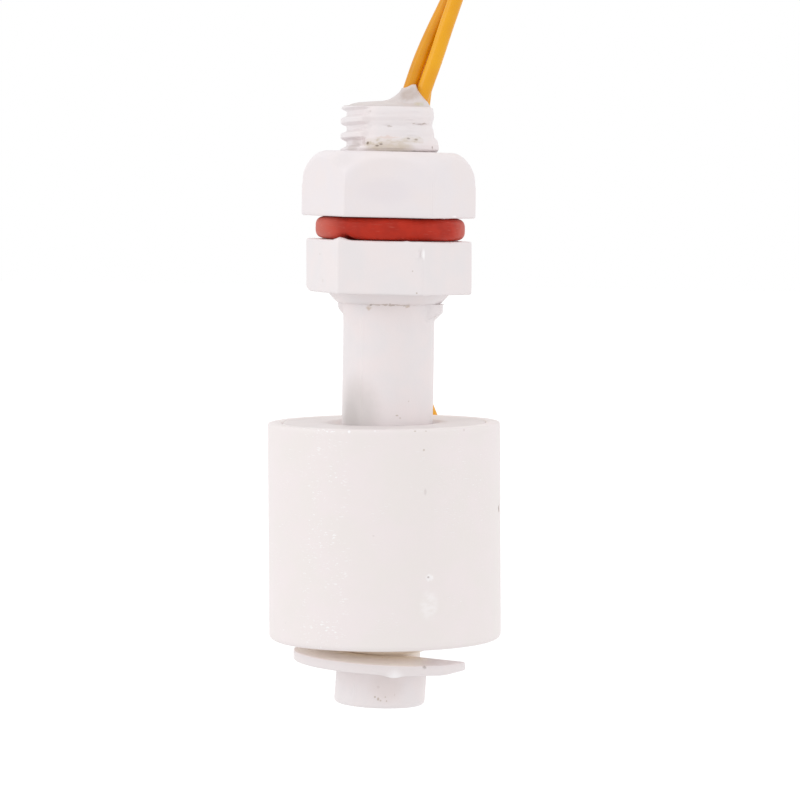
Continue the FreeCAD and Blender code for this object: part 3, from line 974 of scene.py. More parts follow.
@dataclass
class Studio:
    """The camera, the lamps, the white floor and the white room. Metres and degrees."""

    lens: float = 165.0
    eye: Point = (0.00139, -0.367, 0.0068)
    dip: float = 3.56
    roll: float = 0.75
    floor_height: float = -0.13
    floor_side: float = 8.0
    room_level: float = 0.96
    floor_glow: float = 0.33
    lamps: tuple[Lamp, ...] = (
        Lamp("key_lamp", (-0.85, -0.35, 0.35), 0.5, 0.13),
        Lamp("fill_lamp", (0.85, -0.30, 0.12), 0.5, 0.06),
    )

    def add_camera(self) -> None:
        """Adds the camera."""
        data = bpy.data.cameras.new("camera")
        data.lens = self.lens
        data.sensor_width = 36.0
        data.clip_start = 0.01
        camera = bpy.data.objects.new("camera", data)
        turn = Matrix.Rotation(math.radians(90.0 - self.dip), 4, "X")
        tilt = Matrix.Rotation(math.radians(self.roll), 4, "Z")
        camera.matrix_world = Matrix.Translation(self.eye) @ turn @ tilt
        bpy.context.scene.collection.objects.link(camera)
        bpy.context.scene.camera = camera

    def add_floor(self) -> None:
        """Adds the floor, which is white to the eye and still takes a shadow."""
        half = self.floor_side / 2
        corners = [(x * half / MM, y * half / MM, self.floor_height / MM)
                   for x, y in ((-1, -1), (1, -1), (1, 1), (-1, 1))]
        floor = add_mesh("floor", np.array(corners), [(0, 1, 2, 3)])
        material, shader = new_shader("floor_white")
        seen = self.seen(shader)
        diffuse = shader.node("ShaderNodeBsdfDiffuse", {}, {"Color": tint(232, 232, 232)})
        glow = shader.node("ShaderNodeEmission", {}, {"Strength": seen * self.floor_glow})
        both = shader.node("ShaderNodeAddShader", {}, {0: diffuse.outputs[0], 1: glow.outputs[0]})
        shader.node("ShaderNodeOutputMaterial", {}, {"Surface": both.outputs[0]})
        floor.data.materials.append(material)
        floor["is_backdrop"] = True

    def seen(self, shader: Shader) -> Value:
        """Tells what is looked at from what only gives light.

        Args:
            shader: The tree that it is worked out in.

        Returns:
            1 for what is looked at, straight, mirrored or through glass, and 0 for light.
        """
        path = shader.node("ShaderNodeLightPath", {}, {})
        eye, gloss, through = (Value(shader, path.outputs[name])
                               for name in ("Is Camera Ray", "Is Glossy Ray", "Is Transmission Ray"))
        return eye.most(gloss).most(through)

    def add_room(self) -> None:
        """Makes the world white to the eye, and a plain even light."""
        world = bpy.data.worlds.new("room")
        bpy.context.scene.world = world
        world.use_nodes = True
        shader = Shader(world.node_tree)
        strength = self.seen(shader) * (1.0 - self.room_level) + self.room_level
        white = {"Color": (1.0, 1.0, 1.0), "Strength": strength}
        background = shader.node("ShaderNodeBackground", {}, white)
        shader.node("ShaderNodeOutputWorld", {}, {"Surface": background.outputs[0]})

    def build(self, aim: Vector) -> None:
        """Adds everything.

        Args:
            aim: The point that the lamps face, in metres.
        """
        self.add_camera()
        self.add_floor()
        self.add_room()
        for lamp in self.lamps:
            lamp.add(aim)
        bpy.context.scene.view_settings.view_transform = "Standard"
        LOG.info("studio: camera, floor, room and %d lamps", len(self.lamps))


# ---------------------------------------------------------------------------------------------
# Leads
# ---------------------------------------------------------------------------------------------


class Winding(Enum):
    """A layer of the stored coil: its radius, the depth at which it starts and its whole turns."""

    INNER = (7.3, 13.8, 5)
    OUTER = (8.9, 14.6, 4)


@dataclass
class Lead:
    """One insulated lead, from the resin over an arch to the stored coil and its bared end.

    Attributes:
        name: The piece's name.
        letter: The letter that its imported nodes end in.
        route: Its points from the resin to the coil, in millimetres.
        winding: Its layer of the coil.
        finish: Its insulation.
        entry: The angle at which the coil starts, in degrees above +X.
        per_turn: The number of points in each turn.
        tail: The length of its straight end.
        twist: How far the strands turn in each millimetre, in degrees.
        crease: How deep the creases between them are.
    """

    name: str
    letter: str
    route: tuple[Point, ...]
    winding: Winding
    finish: Insulation
    radius: float = 0.75
    length: float = 325.0
    coil_height: float = -29.0
    coil_pitch: float = 1.6
    entry: float = 30.0
    per_turn: int = 16
    tail: float = 7.5
    tip_radius: float = 0.45
    strands: int = 6
    twist: float = 70.0
    crease: float = 0.07

    def points(self) -> list[Point]:
        """Works out the whole route: the free run, the turns of the coil and the tail.

        Returns:
            Its points, in millimetres.
        """
        around, start, turns = self.winding.value
        # The smooth line runs inside its control points, at this share of their radius.
        shrink = (3 + math.cos(2 * math.pi / self.per_turn)) / 4
        total = turns + self.entry / 360.0
        steps = round(total * self.per_turn)
        found = list(self.route)
        for step in range(steps + 1):
            share = step / steps
            angle = math.radians(self.entry - 360.0 * total * share)
            depth = start + self.coil_pitch * total * share
            reach = around / shrink if 0 < step < steps else around
            found.append((reach * math.cos(angle), depth, self.coil_height + reach * math.sin(angle)))
        last = found[-1]
        found.append((last[0], last[1], self.coil_height - self.tail / 2))
        found.append((last[0], last[1], self.coil_height - self.tail))
        return found

    def add_line(self) -> bpy.types.Object:
        """Makes the insulated lead, a smooth line with a round section.

        Returns:
            The lead.
        """
        data = bpy.data.curves.new(self.name, "CURVE")
        data.dimensions = "3D"
        data.bevel_depth = self.radius * MM
        data.bevel_resolution = 5
        data.resolution_u = 6
        data.use_fill_caps = True
        points = self.points()
        spline = data.splines.new("NURBS")
        spline.points.add(len(points) - 1)
        for point, place in zip(spline.points, points):
            point.co = (*(c * MM for c in place), 1.0)
        spline.order_u = 3
        spline.use_endpoint_u = True
        made = bpy.data.objects.new(self.name, data)
        bpy.context.scene.collection.objects.link(made)
        return made

    def add_tip(self) -> bpy.types.Object:
        """Makes the tinned end, a bundle of twisted strands that solder has run into.

        Returns:
            The tinned end.
        """
        low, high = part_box(f"lead_tip_{self.letter}")
        centre = (low + high) / 2 / MM
        lathe = Lathe(even(48))
        bottom, top = low.z / MM, high.z / MM
        lathe.row(0.12, bottom)
        for height in np.linspace(bottom + 0.05, top, 60):
            turned = lathe.azimuths + self.twist * (height - bottom)
            lobes = np.abs(np.cos(np.radians(turned * self.strands / 2)))
            end = 1 - 0.45 * (1 - eased(0.0, 0.35, height - bottom))
            lathe.row((self.tip_radius - self.crease + self.crease * lobes) * end, height)
        made = lathe.build(f"{self.name}_tip", loop=False)
        made.data.transform(Matrix.Translation(Vector((centre.x, centre.y, 0.0)) * MM))
        return made

    def build(self, tinned: bpy.types.Material, others: list[bpy.types.Object], *nodes: str) -> None:
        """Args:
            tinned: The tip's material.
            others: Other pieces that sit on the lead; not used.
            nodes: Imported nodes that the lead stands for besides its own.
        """
        line = self.add_line()
        finish_piece(line, "stem_unit", "yellow_pvc", self.finish.material(),
                     f"lead_{self.letter}", f"lead_tail_{self.letter}", *nodes)
        tip = self.add_tip()
        finish_piece(tip, "stem_unit", "tinned_copper", tinned, f"lead_tip_{self.letter}")
        start = tuple(c * MM for c in self.route[0])
        2 * self.radius * MM


FRONT_ROUTE = (
    (3.15, -0.55, 14.2),
    (3.72, -0.50, 15.9),
    (4.50, -0.50, 18.1),
    (5.45, -0.55, 21.2),
    (6.60, -0.60, 24.6),
    (8.00, -0.60, 29.0),
    (9.20, 3.40, 33.4),
    (9.10, 10.60, 33.5),
    (7.75, 14.45, 29.2),
    (6.15, 14.60, 24.5),
    (4.80, 14.60, 20.6),
    (3.60, 14.60, 16.6),
    (3.05, 14.60, 10.0),
    (3.00, 14.60, 1.5),
    (2.90, 14.60, -8.0),
    (3.10, 14.70, -16.0),
)
REAR_ROUTE = (
    (1.75, 0.42, 14.2),
    (2.22, 0.42, 15.7),
    (2.98, 0.55, 18.0),
    (4.25, 0.75, 21.0),
    (5.80, 0.90, 24.2),
    (7.20, 1.00, 28.3),
    (8.10, 3.90, 31.3),
    (8.10, 9.70, 31.4),
    (7.25, 12.85, 28.4),
    (6.00, 12.95, 24.2),
    (4.75, 12.95, 20.6),
    (3.40, 12.95, 16.6),
    (2.00, 12.95, 10.5),
    (1.45, 12.95, 2.0),
    (1.40, 13.00, -8.0),
    (2.10, 13.60, -17.6),
)


@dataclass
class Leads:
    """The pair of leads, their tinned tips and the tie round their coil."""

    front: Lead = field(default_factory=lambda: Lead(
        "lead_front", "a", FRONT_ROUTE, Winding.OUTER,
        Insulation("yellow_pvc_front", tint(242, 172, 12), tint(236, 162, 10))))
    # The rear lead's colour is the front's with painted shade, as it lies in the front lead's shade.
    rear: Lead = field(default_factory=lambda: Lead(
        "lead_rear", "b", REAR_ROUTE, Winding.INNER,
        Insulation("yellow_pvc_rear_painted_shade", tint(230, 156, 8), tint(218, 146, 8))))

    def build(self, nodes: dict[str, bpy.types.Object]) -> None:
        """Makes both leads and dresses the tie.

        Args:
            nodes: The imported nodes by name.
        """
        tinned = Metal("tinned_strands", tint(214, 214, 210), tint(186, 186, 184), 0.32).material()
        tie = nodes["coil_tie"]
        nylon = Moulded("tie_nylon", tint(232, 230, 222), tint(222, 219, 208), roughness=0.38,
                        grain=0.006, grain_size=0.2)
        dress(tie, nylon.material())
        self.front.build(tinned, [tie], "lead_coil")
        self.rear.build(tinned, [])
        LOG.info("leads: two, %.0f mm each", self.front.length)


def dress(node: bpy.types.Object, material: bpy.types.Material) -> None:
    """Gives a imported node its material.

    Args:
        node: The node.
        material: Its material.
    """
    node.data.materials.clear()
    node.data.materials.append(material)
    LOG.info("%s keeps its packed shape", node.name)


# ---------------------------------------------------------------------------------------------
# The moulded body
# ---------------------------------------------------------------------------------------------

WHITE = tint(240, 231, 231)
WHITE_COOL = tint(236, 230, 231)
SOIL = tint(176, 158, 136)
DARK_SOIL = tint(118, 98, 82)
# Near white: the colour of mould flash, and of painted highlights on burrs, ridges, the gouge, the float's
# pip and the clip's lip.
FLASH_AND_HIGHLIGHT = tint(255, 252, 253)
SLANT = 0.42


@dataclass
class Moulding:
    """The body: threaded neck, hexagon flange, collar, lugs and stem. Millimetres.

    The mould parts along one upright plane. On one side of it the thread is full, and on the
    other it is shallow and smeared above the nut.

    Attributes:
        proud: How far a burr may stand out past the thread's crests, to stay inside the nut.
        crest_height: The height of a crest at the front.
        smear_foot: The height above which the thread is smeared, just above the nut.
        smeared: Heights on the smeared side, each with its radius.
        burrs: The burrs by the parting plane, and the gaps that were cut beside them.
        scrapes: The scrapes and ridges on the smeared side.
        knocks: The gouge in the flange's front corner, with its lip, and a dent.
        wear: How rough the neck is.
        collar: The collar's radius at its top and at its foot, and its height.
        groove: The radius, the top and the foot of the clip's groove.
        lugs: The azimuth, the reach and the lower end of each lug.
        bow: Heights on the moulding, each with how far it stands to the right there.
    """

    seam: float = -35.0
    neck_r: float = 4.9
    neck_top: float = 13.3
    pitch: float = 1.5
    thread_depth: float = 0.6
    proud: float = 0.08
    crest_height: float = 12.125
    smear_foot: float = 8.4
    smeared: tuple[tuple[float, float], ...] = (
        (8.4, 4.72), (8.7, 4.8), (9.1, 4.93), (9.5, 4.92), (9.95, 4.78), (10.3, 4.45), (10.9, 4.4),
        (11.35, 4.25), (11.8, 4.3), (12.2, 4.42), (12.7, 4.4), (13.1, 4.3), (13.3, 4.2),
    )
    burrs: tuple[Flaw, ...] = (
        Flaw(-32.0, 5.0, 11.25, 0.32, 0.16), Flaw(-25.5, 3.0, 11.2, 0.3, -0.1),
        Flaw(-36.5, 2.8, 9.7, 0.75, 0.26), Flaw(-32.0, 4.0, 12.75, 0.3, 0.1),
        Flaw(-27.0, 3.5, 12.55, 0.25, -0.08),
    )
    scrapes: tuple[Flaw, ...] = tuple(
        Flaw(azimuth, width, height, 0.14, depth) for azimuth, width, height, depth in (
            (48.0, 27.0, 11.53, -0.13), (27.0, 16.0, 11.2, 0.06), (31.0, 11.0, 10.5, 0.07),
            (29.0, 10.0, 12.0, 0.05), (33.0, 14.0, 12.82, 0.06), (-17.0, 14.0, 10.28, 0.07),
            (-5.0, 4.0, 11.33, -0.08), (-3.0, 5.0, 10.12, -0.1), (-8.0, 20.0, 12.4, -0.04),
            (20.0, 40.0, 9.9, -0.05), (5.0, 30.0, 9.0, -0.04),
        ))
    knocks: tuple[Flaw, ...] = (
        Flaw(22.6, 1.5, -1.25, 0.75, -0.22), Flaw(21.0, 1.2, -1.35, 0.85, 0.10),
        Flaw(-66.0, 1.6, -4.05, 0.5, -0.08),
    )
    wear: float = 0.035
    bore_r: float = 3.6
    mouth: float = 0.4
    bore_floor: float = -3.0
    across_flats: float = 14.5
    flange_turn: float = -6.6
    flange_height: float = 5.3
    corner: float = 0.3
    edge: float = 0.22
    corner_cut: float = 0.45
    collar: tuple[float, float, float] = (6.05, 5.2, 1.0)
    stem_r: float = 4.575
    stem_bore_r: float = 2.9
    stem_end: float = -46.6
    end_slant: float = 1.3
    stem_floor: float = 1.8
    stem_edge: float = 0.4
    groove: tuple[float, float, float] = (3.85, -41.1, -42.9)
    lug_r: float = 1.9
    lugs: tuple[tuple[float, float, float], ...] = ((78.0, 5.5, -8.1), (-112.0, 5.35, -7.7))
    bow: tuple[tuple[float, float], ...] = (
        (-46.6, -0.34), (-44.6, -0.2), (-41.0, -0.08), (-29.0, 0.0), (-17.0, 0.13), (-9.0, 0.16),
        (-2.5, 0.09), (2.3, 0.02), (13.3, 0.0),
    )

    EDGE_ANGLES = (60.0, 35.0, 12.0)
    END_ANGLES = (0, -18, -36, -54, -72, -90)
    COLLAR_SHARES = (0.12, 0.3, 0.5, 0.7, 0.88)

    def ridge(self, azimuths: np.ndarray) -> np.ndarray:
        """The thin ridge of flash along the parting plane, from 0 to 1."""
        return hump(0.0, 1.7, counted_from(azimuths, self.seam))

    def step(self, azimuths: np.ndarray) -> np.ndarray:
        """1 on the front half of the mould, 0 on the rear half."""
        away = counted_from(azimuths, self.seam)
        return eased(-0.8, 0.8, away) * (1 - eased(176.0, 179.0, away))

    def smear(self, azimuths: np.ndarray, height: float) -> np.ndarray:
        """Works out how smeared the thread is, which it is above the nut, on one side of the parting plane.

        Args:
            azimuths: The azimuths at which it is wanted.
            height: The height at which it is wanted.

        Returns:
            A number from 0 to 1 at each azimuth.
        """
        turn = counted_from(azimuths, self.seam)
        side = eased(-1.0, 9.0, turn) * (1 - eased(150.0, 176.0, turn))
        return side * eased(self.smear_foot, self.smear_foot + 0.6, height)

    def neck(self, azimuths: np.ndarray, height: float) -> np.ndarray:
        """Works out the thread, full or smeared.

        Args:
            azimuths: The azimuths at which it is wanted.
            height: The height at which it is wanted.

        Returns:
            The radius at each azimuth.
        """
        phase = (height - self.crest_height) / self.pitch - azimuths / 360.0
        wave = eased(0.1, 0.9, 0.5 - 0.5 * np.cos(2 * np.pi * phase))
        full = self.neck_r - self.thread_depth * eased(0.3, 1.6, height) * wave
        full = full - 0.12 * eased(12.9, 13.3, height)
        smeared = np.interp(height, *zip(*self.smeared))
        return full + (smeared - full) * self.smear(azimuths, height)

    def neck_flaws(self, azimuths: np.ndarray, height: float) -> np.ndarray:
        """What the burrs, the scrapes and the wear add to the neck's radius."""
        marked = flawed((*self.burrs, *self.scrapes), azimuths, height)
        return marked + self.wear * ripple(azimuths, 2.2, height * 2.6)

    def sway(self, points: np.ndarray) -> np.ndarray:
        """Bows the moulding as its cooling did, and sets the flange and the end at a slant.

        Args:
            points: A row of points.

        Returns:
            The moved points.
        """
        bowed = points.copy()
        bowed[:, 0] += np.interp(points[:, 2], *zip(*self.bow))
        # The flange's slant fades out below the collar and just above the neck's foot.
        near = eased(-9.5, -6.3, points[:, 2]) * (1 - eased(0.3, 3.0, points[:, 2]))
        ended = 1 - eased(self.stem_end, self.stem_end + 1.5, points[:, 2])
        slope = math.tan(math.radians(SLANT)) * near + math.tan(math.radians(self.end_slant)) * ended
        bowed[:, 2] -= points[:, 0] * slope
        return bowed

    def lug(self, azimuths: np.ndarray, lug: tuple[float, float, float], height: float) -> np.ndarray:
        """Works out one lug.

        Args:
            azimuths: The azimuths at which it is wanted.
            lug: Its azimuth, its reach and the height of its lower end.
            height: The height at which it is wanted.

        Returns:
            Its radius at each azimuth, and 0 where it isn't.
        """
        azimuth, reach, low = lug
        away = np.radians(counted_from(azimuths, azimuth))
        middle = reach - self.lug_r
        inside = self.lug_r ** 2 - (middle * np.sin(away)) ** 2
        lobe = np.where((inside > 0) & (np.abs(away) < 1.2),
                        middle * np.cos(away) + np.sqrt(np.maximum(inside, 0.0)), 0.0)
        return np.minimum(lobe, reach - 1.0 + max(height - low, 0.0))

    def stem(self, azimuths: np.ndarray, height: float) -> np.ndarray:
        """Works out the stem, with its lugs and the ridge at the parting plane.

        Args:
            azimuths: The azimuths at which it is wanted.
            height: The height at which it is wanted.

        Returns:
            The radius at each azimuth.
        """
        plain = self.stem_r - 0.035 * (1 - self.step(azimuths)) + 0.045 * self.ridge(azimuths)
        for lug in self.lugs:
            shape = self.lug(azimuths, lug, height)
            plain = -soft_least(-plain, -shape, 0.12) if height > lug[2] - 0.3 else plain
        return plain

    def add_neck(self, lathe: Lathe) -> None:
        """Adds the bore, the neck's rim and the thread, from the bore's floor to the flange.

        Args:
            lathe: The lathe that takes the rows.
        """
        floor = self.stem_end + self.stem_floor
        lathe.row(self.stem_bore_r - 0.5, floor)
        lathe.bend(0.5, (self.stem_bore_r - 0.5, floor + 0.5), -60, 0, 2)
        lathe.row(self.stem_bore_r, self.bore_floor - (self.bore_r - self.stem_bore_r))
        lathe.row(self.bore_r, self.bore_floor)
        lathe.row(self.bore_r, self.neck_top - self.mouth)
        lathe.row(self.bore_r + self.mouth, self.neck_top)
        azimuths = lathe.azimuths
        top = self.neck(azimuths, self.neck_top) + self.neck_flaws(azimuths, self.neck_top)
        lathe.row(top - 0.22, self.neck_top)
        lathe.row(top - 0.05, self.neck_top - 0.07)
        above_nut = np.arange(self.neck_top - 0.16, self.smear_foot, -0.06)
        for height in np.concatenate([above_nut, np.arange(self.smear_foot - 0.05, 0.25, -0.13)]):
            rough = self.neck(azimuths, height) + self.neck_flaws(azimuths, height)
            lathe.row(np.minimum(rough, self.neck_r + self.proud), height)
        lathe.row(self.neck_r + 0.02, 0.12)
        lathe.row(self.neck_r + 0.12, 0.0)

    def add_flange(self, lathe: Lathe) -> None:
        """Adds the hexagon flange and the collar.

        Args:
            lathe: The lathe that takes the rows.
        """
        azimuths = lathe.signed()
        side = hexagon(azimuths, self.across_flats, self.corner, self.flange_turn)
        burr = 0.3 * hump(-37.5, 9.0, azimuths)
        nick = 0.06 * hump(-44.0, 2.5, azimuths) + 0.05 * hump(14.0, 3.0, azimuths)
        level = side - 1.1
        for share in (0.35, 0.7):
            lathe.row(self.neck_r + (level - self.neck_r) * share, 0.0)
        lathe.row(level, 0.02 * burr)
        lathe.row(side - 0.75, 0.4 * burr)
        lathe.row(side - 0.45, burr + nick)
        lathe.row(side - self.edge, 0.75 * burr + nick)
        for angle in self.EDGE_ANGLES:
            turn = math.radians(angle)
            lathe.row(side - self.edge * (1 - math.cos(turn)),
                      -self.edge * (1 - math.sin(turn)) + (0.6 * burr + nick) * math.sin(turn))
        low = -self.flange_height
        widest = self.across_flats / math.sqrt(3)
        # Its lower corners are cut back a little, and more at the left rear.
        least_cut = 0.08
        corner_cut = least_cut + (self.corner_cut - least_cut) * hump(-96.6, 32.0, azimuths)
        foot = np.array([low + 0.44, low + 0.3, low + 0.16])
        for height in np.concatenate([np.arange(-0.35, -2.5, -0.15), np.arange(-2.6, low + 0.5, -0.3), foot]):
            cut = widest - corner_cut + max(0.0, height - low)
            plain = soft_least(side, 0 * side + cut, 0.1)
            lathe.row(plain + flawed(self.knocks, azimuths, height), height)
        last = np.minimum(side, widest - corner_cut)
        lathe.row(last - 0.04, low + 0.05)
        lathe.row(last - 0.14, low)
        collar_r, collar_low_r, collar_height = self.collar
        lathe.row(last - 0.6, low)
        lathe.row(collar_r + 0.18, low)
        lathe.row(collar_r + 0.03, low - 0.05)
        for share in self.COLLAR_SHARES:
            lathe.row(collar_r - (collar_r - collar_low_r) * share ** 1.25, low - collar_height * share)
        lathe.row(collar_low_r - 0.1, low - collar_height)

    def add_stem(self, lathe: Lathe) -> None:
        """Adds the lugs and the stem, down to its closed end.

        Args:
            lathe: The lathe that takes the rows.
        """
        azimuths = lathe.signed()
        foot = -self.flange_height - self.collar[2]
        fillet = 0.12
        lathe.row(np.maximum(self.stem(azimuths, foot), self.stem_r) + fillet, foot)
        groove_r, groove_top, groove_low = self.groove
        along_lugs = np.arange(foot - fillet, -8.9, -0.1)
        for height in np.concatenate([along_lugs, np.arange(-9.2, groove_top + 0.3, -0.6)]):
            lathe.row(self.stem(azimuths, height), height)
        wall = self.stem(azimuths, groove_top)
        lathe.row(wall, groove_top + 0.08)
        lathe.row(wall - 0.08, groove_top)
        lathe.row(groove_r + 0.1, groove_top)
        lathe.row(groove_r, groove_top - 0.1)
        lathe.row(groove_r, groove_low + 0.1)
        lathe.row(groove_r + 0.1, groove_low)
        lathe.row(wall - 0.08, groove_low)
        lathe.row(wall, groove_low - 0.08)
        for height in np.arange(groove_low - 0.4, self.stem_end + self.stem_edge + 0.2, -0.4):
            lathe.row(self.stem(azimuths, height), height)
        edge = self.stem_edge
        for angle in self.END_ANGLES:
            turn = math.radians(angle)
            lathe.row(wall - edge * (1 - math.cos(turn)), self.stem_end + edge * (1 + math.sin(turn)))
        for share in (0.75, 0.4):
            lathe.row((self.stem_r - edge) * share, self.stem_end + 0.03 * (1 - share))

    def neck_marks(self) -> tuple[Mark, ...]:
        """Lists the soil and the specks on the neck, the painted highlights on its burrs, and the painted
        shade beside a burr and on the left of the thread.

        Returns:
            The marks.
        """
        return (
            Mark(-16.0, 9.55, 4.7, 1.8, tint(198, 184, 164), 0.85, 0.42, 0.7),
            Mark(8.0, 9.5, 4.8, 2.2, tint(206, 192, 174), 0.75, 0.35, 0.6),
            Mark(30.0, 9.95, 4.6, 1.6, tint(204, 190, 170), 0.8, 0.3, 0.7),
            Mark(2.0, 9.1, 4.9, 3.2, tint(218, 206, 192), 0.8, 0.2, 0.3),
            Mark(-2.0, 10.2, 4.7, 1.6, tint(228, 208, 200), 0.7, 0.12),
            Mark(20.0, 8.75, 4.9, 4.0, tint(196, 184, 178), 0.55, 0.05),
            Mark(50.0, 11.5, 4.4, 1.2, tint(196, 184, 180), 0.6, 0.12),
            Mark(0.0, 11.3, 4.4, 0.42, tint(186, 174, 168), 0.6, 0.3),
            Mark(-26.0, 12.75, 4.5, 0.3, tint(206, 196, 192), 0.6, 0.8),
            # Painted shade on the right edge of the burr's bright blob.
            Mark(-21.5, 11.2, 4.5, 0.16, tint(178, 162, 160), 0.7, 2.0),
            # Painted highlight on that burr.
            Mark(-26.5, 11.25, 4.6, 0.34, FLASH_AND_HIGHLIGHT, 0.9, 1.0),
            # Painted highlight on the burr ridge by the parting plane.
            Mark(-35.5, 9.7, 4.8, 0.24, FLASH_AND_HIGHLIGHT, 0.8, 2.6),
            Mark(-26.0, 9.6, 4.88, 0.2, DARK_SOIL, 0.95),
            *specks(4.92, DARK_SOIL, (-14.0, 9.35, 0.26, 0.7, 0.5), (-9.5, 9.5, 0.24, 0.7, 0.5)),
            Mark(24.0, 10.1, 4.66, 0.26, DARK_SOIL, 0.6, 0.5),
            Mark(34.0, 10.0, 4.72, 0.27, DARK_SOIL, 0.55, 0.45),
            Mark(60.0, 9.25, 4.93, 0.2, DARK_SOIL, 0.5),
            *specks(4.3, SOIL, (34.0, 11.55, 0.3, 0.45, 0.3), (52.0, 11.55, 0.3, 0.4, 0.3)),
            # Painted shade on the left of the thread.
            Mark(-50.0, 9.1, 4.5, 1.2, tint(205, 194, 190), 0.6, 1.0),
        )

    def flange_marks(self) -> tuple[Mark, ...]:
        """Lists the painted highlight and painted shade in the flange's gouge and the specks on its sides.

        Returns:
            The marks.
        """
        return (
            Mark(18.0, -2.9, 7.95, 0.1, SOIL, 0.5),
            # Painted highlight on the gouge's lit edge, then painted shade inside the gouge.
            Mark(25.0, -1.25, 8.22, 0.27, FLASH_AND_HIGHLIGHT, 0.95, 2.8),
            Mark(21.5, -1.3, 8.1, 0.14, tint(196, 186, 190), 0.6, 4.0),
            Mark(21.0, -5.05, 8.1, 0.13, SOIL, 0.8),
            Mark(-70.0, -1.45, 7.26, 0.15, SOIL, 0.5),
            Mark(-64.0, -4.1, 7.25, 0.16, SOIL, 0.7, 2.2),
        )

    def collar_marks(self) -> tuple[Mark, ...]:
        """Lists the soil under the collar and on the lugs, and the painted shade on a lug's flank.

        Returns:
            The marks.
        """
        rust = tint(200, 178, 156)
        return (
            Mark(-24.0, -6.65, 4.6, 0.4, rust, 0.75, 0.9, 0.5),
            Mark(2.0, -6.36, 4.6, 3.4, tint(186, 170, 158), 0.7, 0.035),
            Mark(-21.0, -6.4, 4.6, 0.2, DARK_SOIL, 0.5, 0.5),
            Mark(26.0, -6.5, 4.6, 0.3, rust, 0.6, 0.5),
            *specks(4.9, DARK_SOIL, (40.0, -6.2, 0.2, 0.55, 0.4), (32.0, -6.3, 0.16, 0.5, 0.4)),
            # Painted shade on the lug's left flank.
            Mark(68.0, -7.6, 5.2, 0.35, tint(214, 204, 198), 0.6, 1.2),
        )

    def stem_marks(self) -> tuple[Mark, ...]:
        """Lists the painted shade on the stem below the float, the painted highlight on its ridge, its
        specks, and the painted warm bounce light round the clip's groove.

        Returns:
            The marks.
        """
        side = self.stem_r
        return (
            # Painted shade on the stem's left, below the float.
            Mark(-44.0, -17.6, side, 3.8, tint(208, 202, 200), 0.7, 1.4),
            Mark(-52.0, -18.0, side, 1.8, tint(196, 190, 188), 0.5, 1.6),
            # Painted highlight on the ridge along the parting plane.
            Mark(-40.0, -17.6, 4.6, 0.1, FLASH_AND_HIGHLIGHT, 0.7, 16.0),
            *specks(side, SOIL, (57.0, -13.5, 0.13, 0.5), (60.0, -13.9, 0.12, 0.5), (29.0, -15.9, 0.12, 0.5),
                    (14.0, -17.3, 0.2, 0.55, 0.5), (18.0, -17.55, 0.16, 0.5, 0.5)),
            Mark(-5.0, -44.4, side, 0.2, tint(198, 184, 182), 0.4),
            *specks(side, SOIL, (-9.0, -45.4, 0.14, 0.75), (-5.0, -45.6, 0.17, 0.7, 1.3),
                    (-2.0, -45.75, 0.13, 0.6), (4.0, -45.4, 0.11, 0.7), (5.5, -45.8, 0.12, 0.65),
                    (16.0, -45.2, 0.12, 0.45, 2.2)),
            Mark(6.0, -44.3, side, 2.4, tint(228, 216, 213), 0.45, 0.9),
            # Painted warm bounce light on the stem in the gap between float and clip.
            Mark(0.0, -40.6, 0.0, 9.0, tint(255, 240, 220), 1.0, 0.22),
        )

    def build(self) -> None:
        """Makes the body's skin and dresses it."""
        lathe = Lathe(with_corners(self.flange_turn))
        self.add_neck(lathe)
        self.add_flange(lathe)
        self.add_stem(lathe)
        lathe.rows = [self.sway(row) for row in lathe.rows]
        skin = lathe.build("body_moulding", loop=False, sharp=50.0)
        marks = (*self.neck_marks(), *self.flange_marks(), *self.collar_marks(), *self.stem_marks())
        finish = Moulded("white_polypropylene_body", WHITE, WHITE_COOL, roughness=0.43, grain=0.006,
                         grain_size=0.3, scuffs=0.25, marks=marks)
        finish_piece(skin, "stem_unit", "white_polypropylene", finish.material(), "switch_body")


def slanted(piece: bpy.types.Object, angle: float) -> bpy.types.Object:
    """Lowers the right side of a piece and lifts its left side.

    Args:
        piece: The piece.
        angle: The slant, in degrees.

    Returns:
        The piece.
    """
    matrix = Matrix.Identity(4)
    matrix[2][0] = -math.tan(math.radians(angle))
    piece.data.transform(matrix)
    return piece


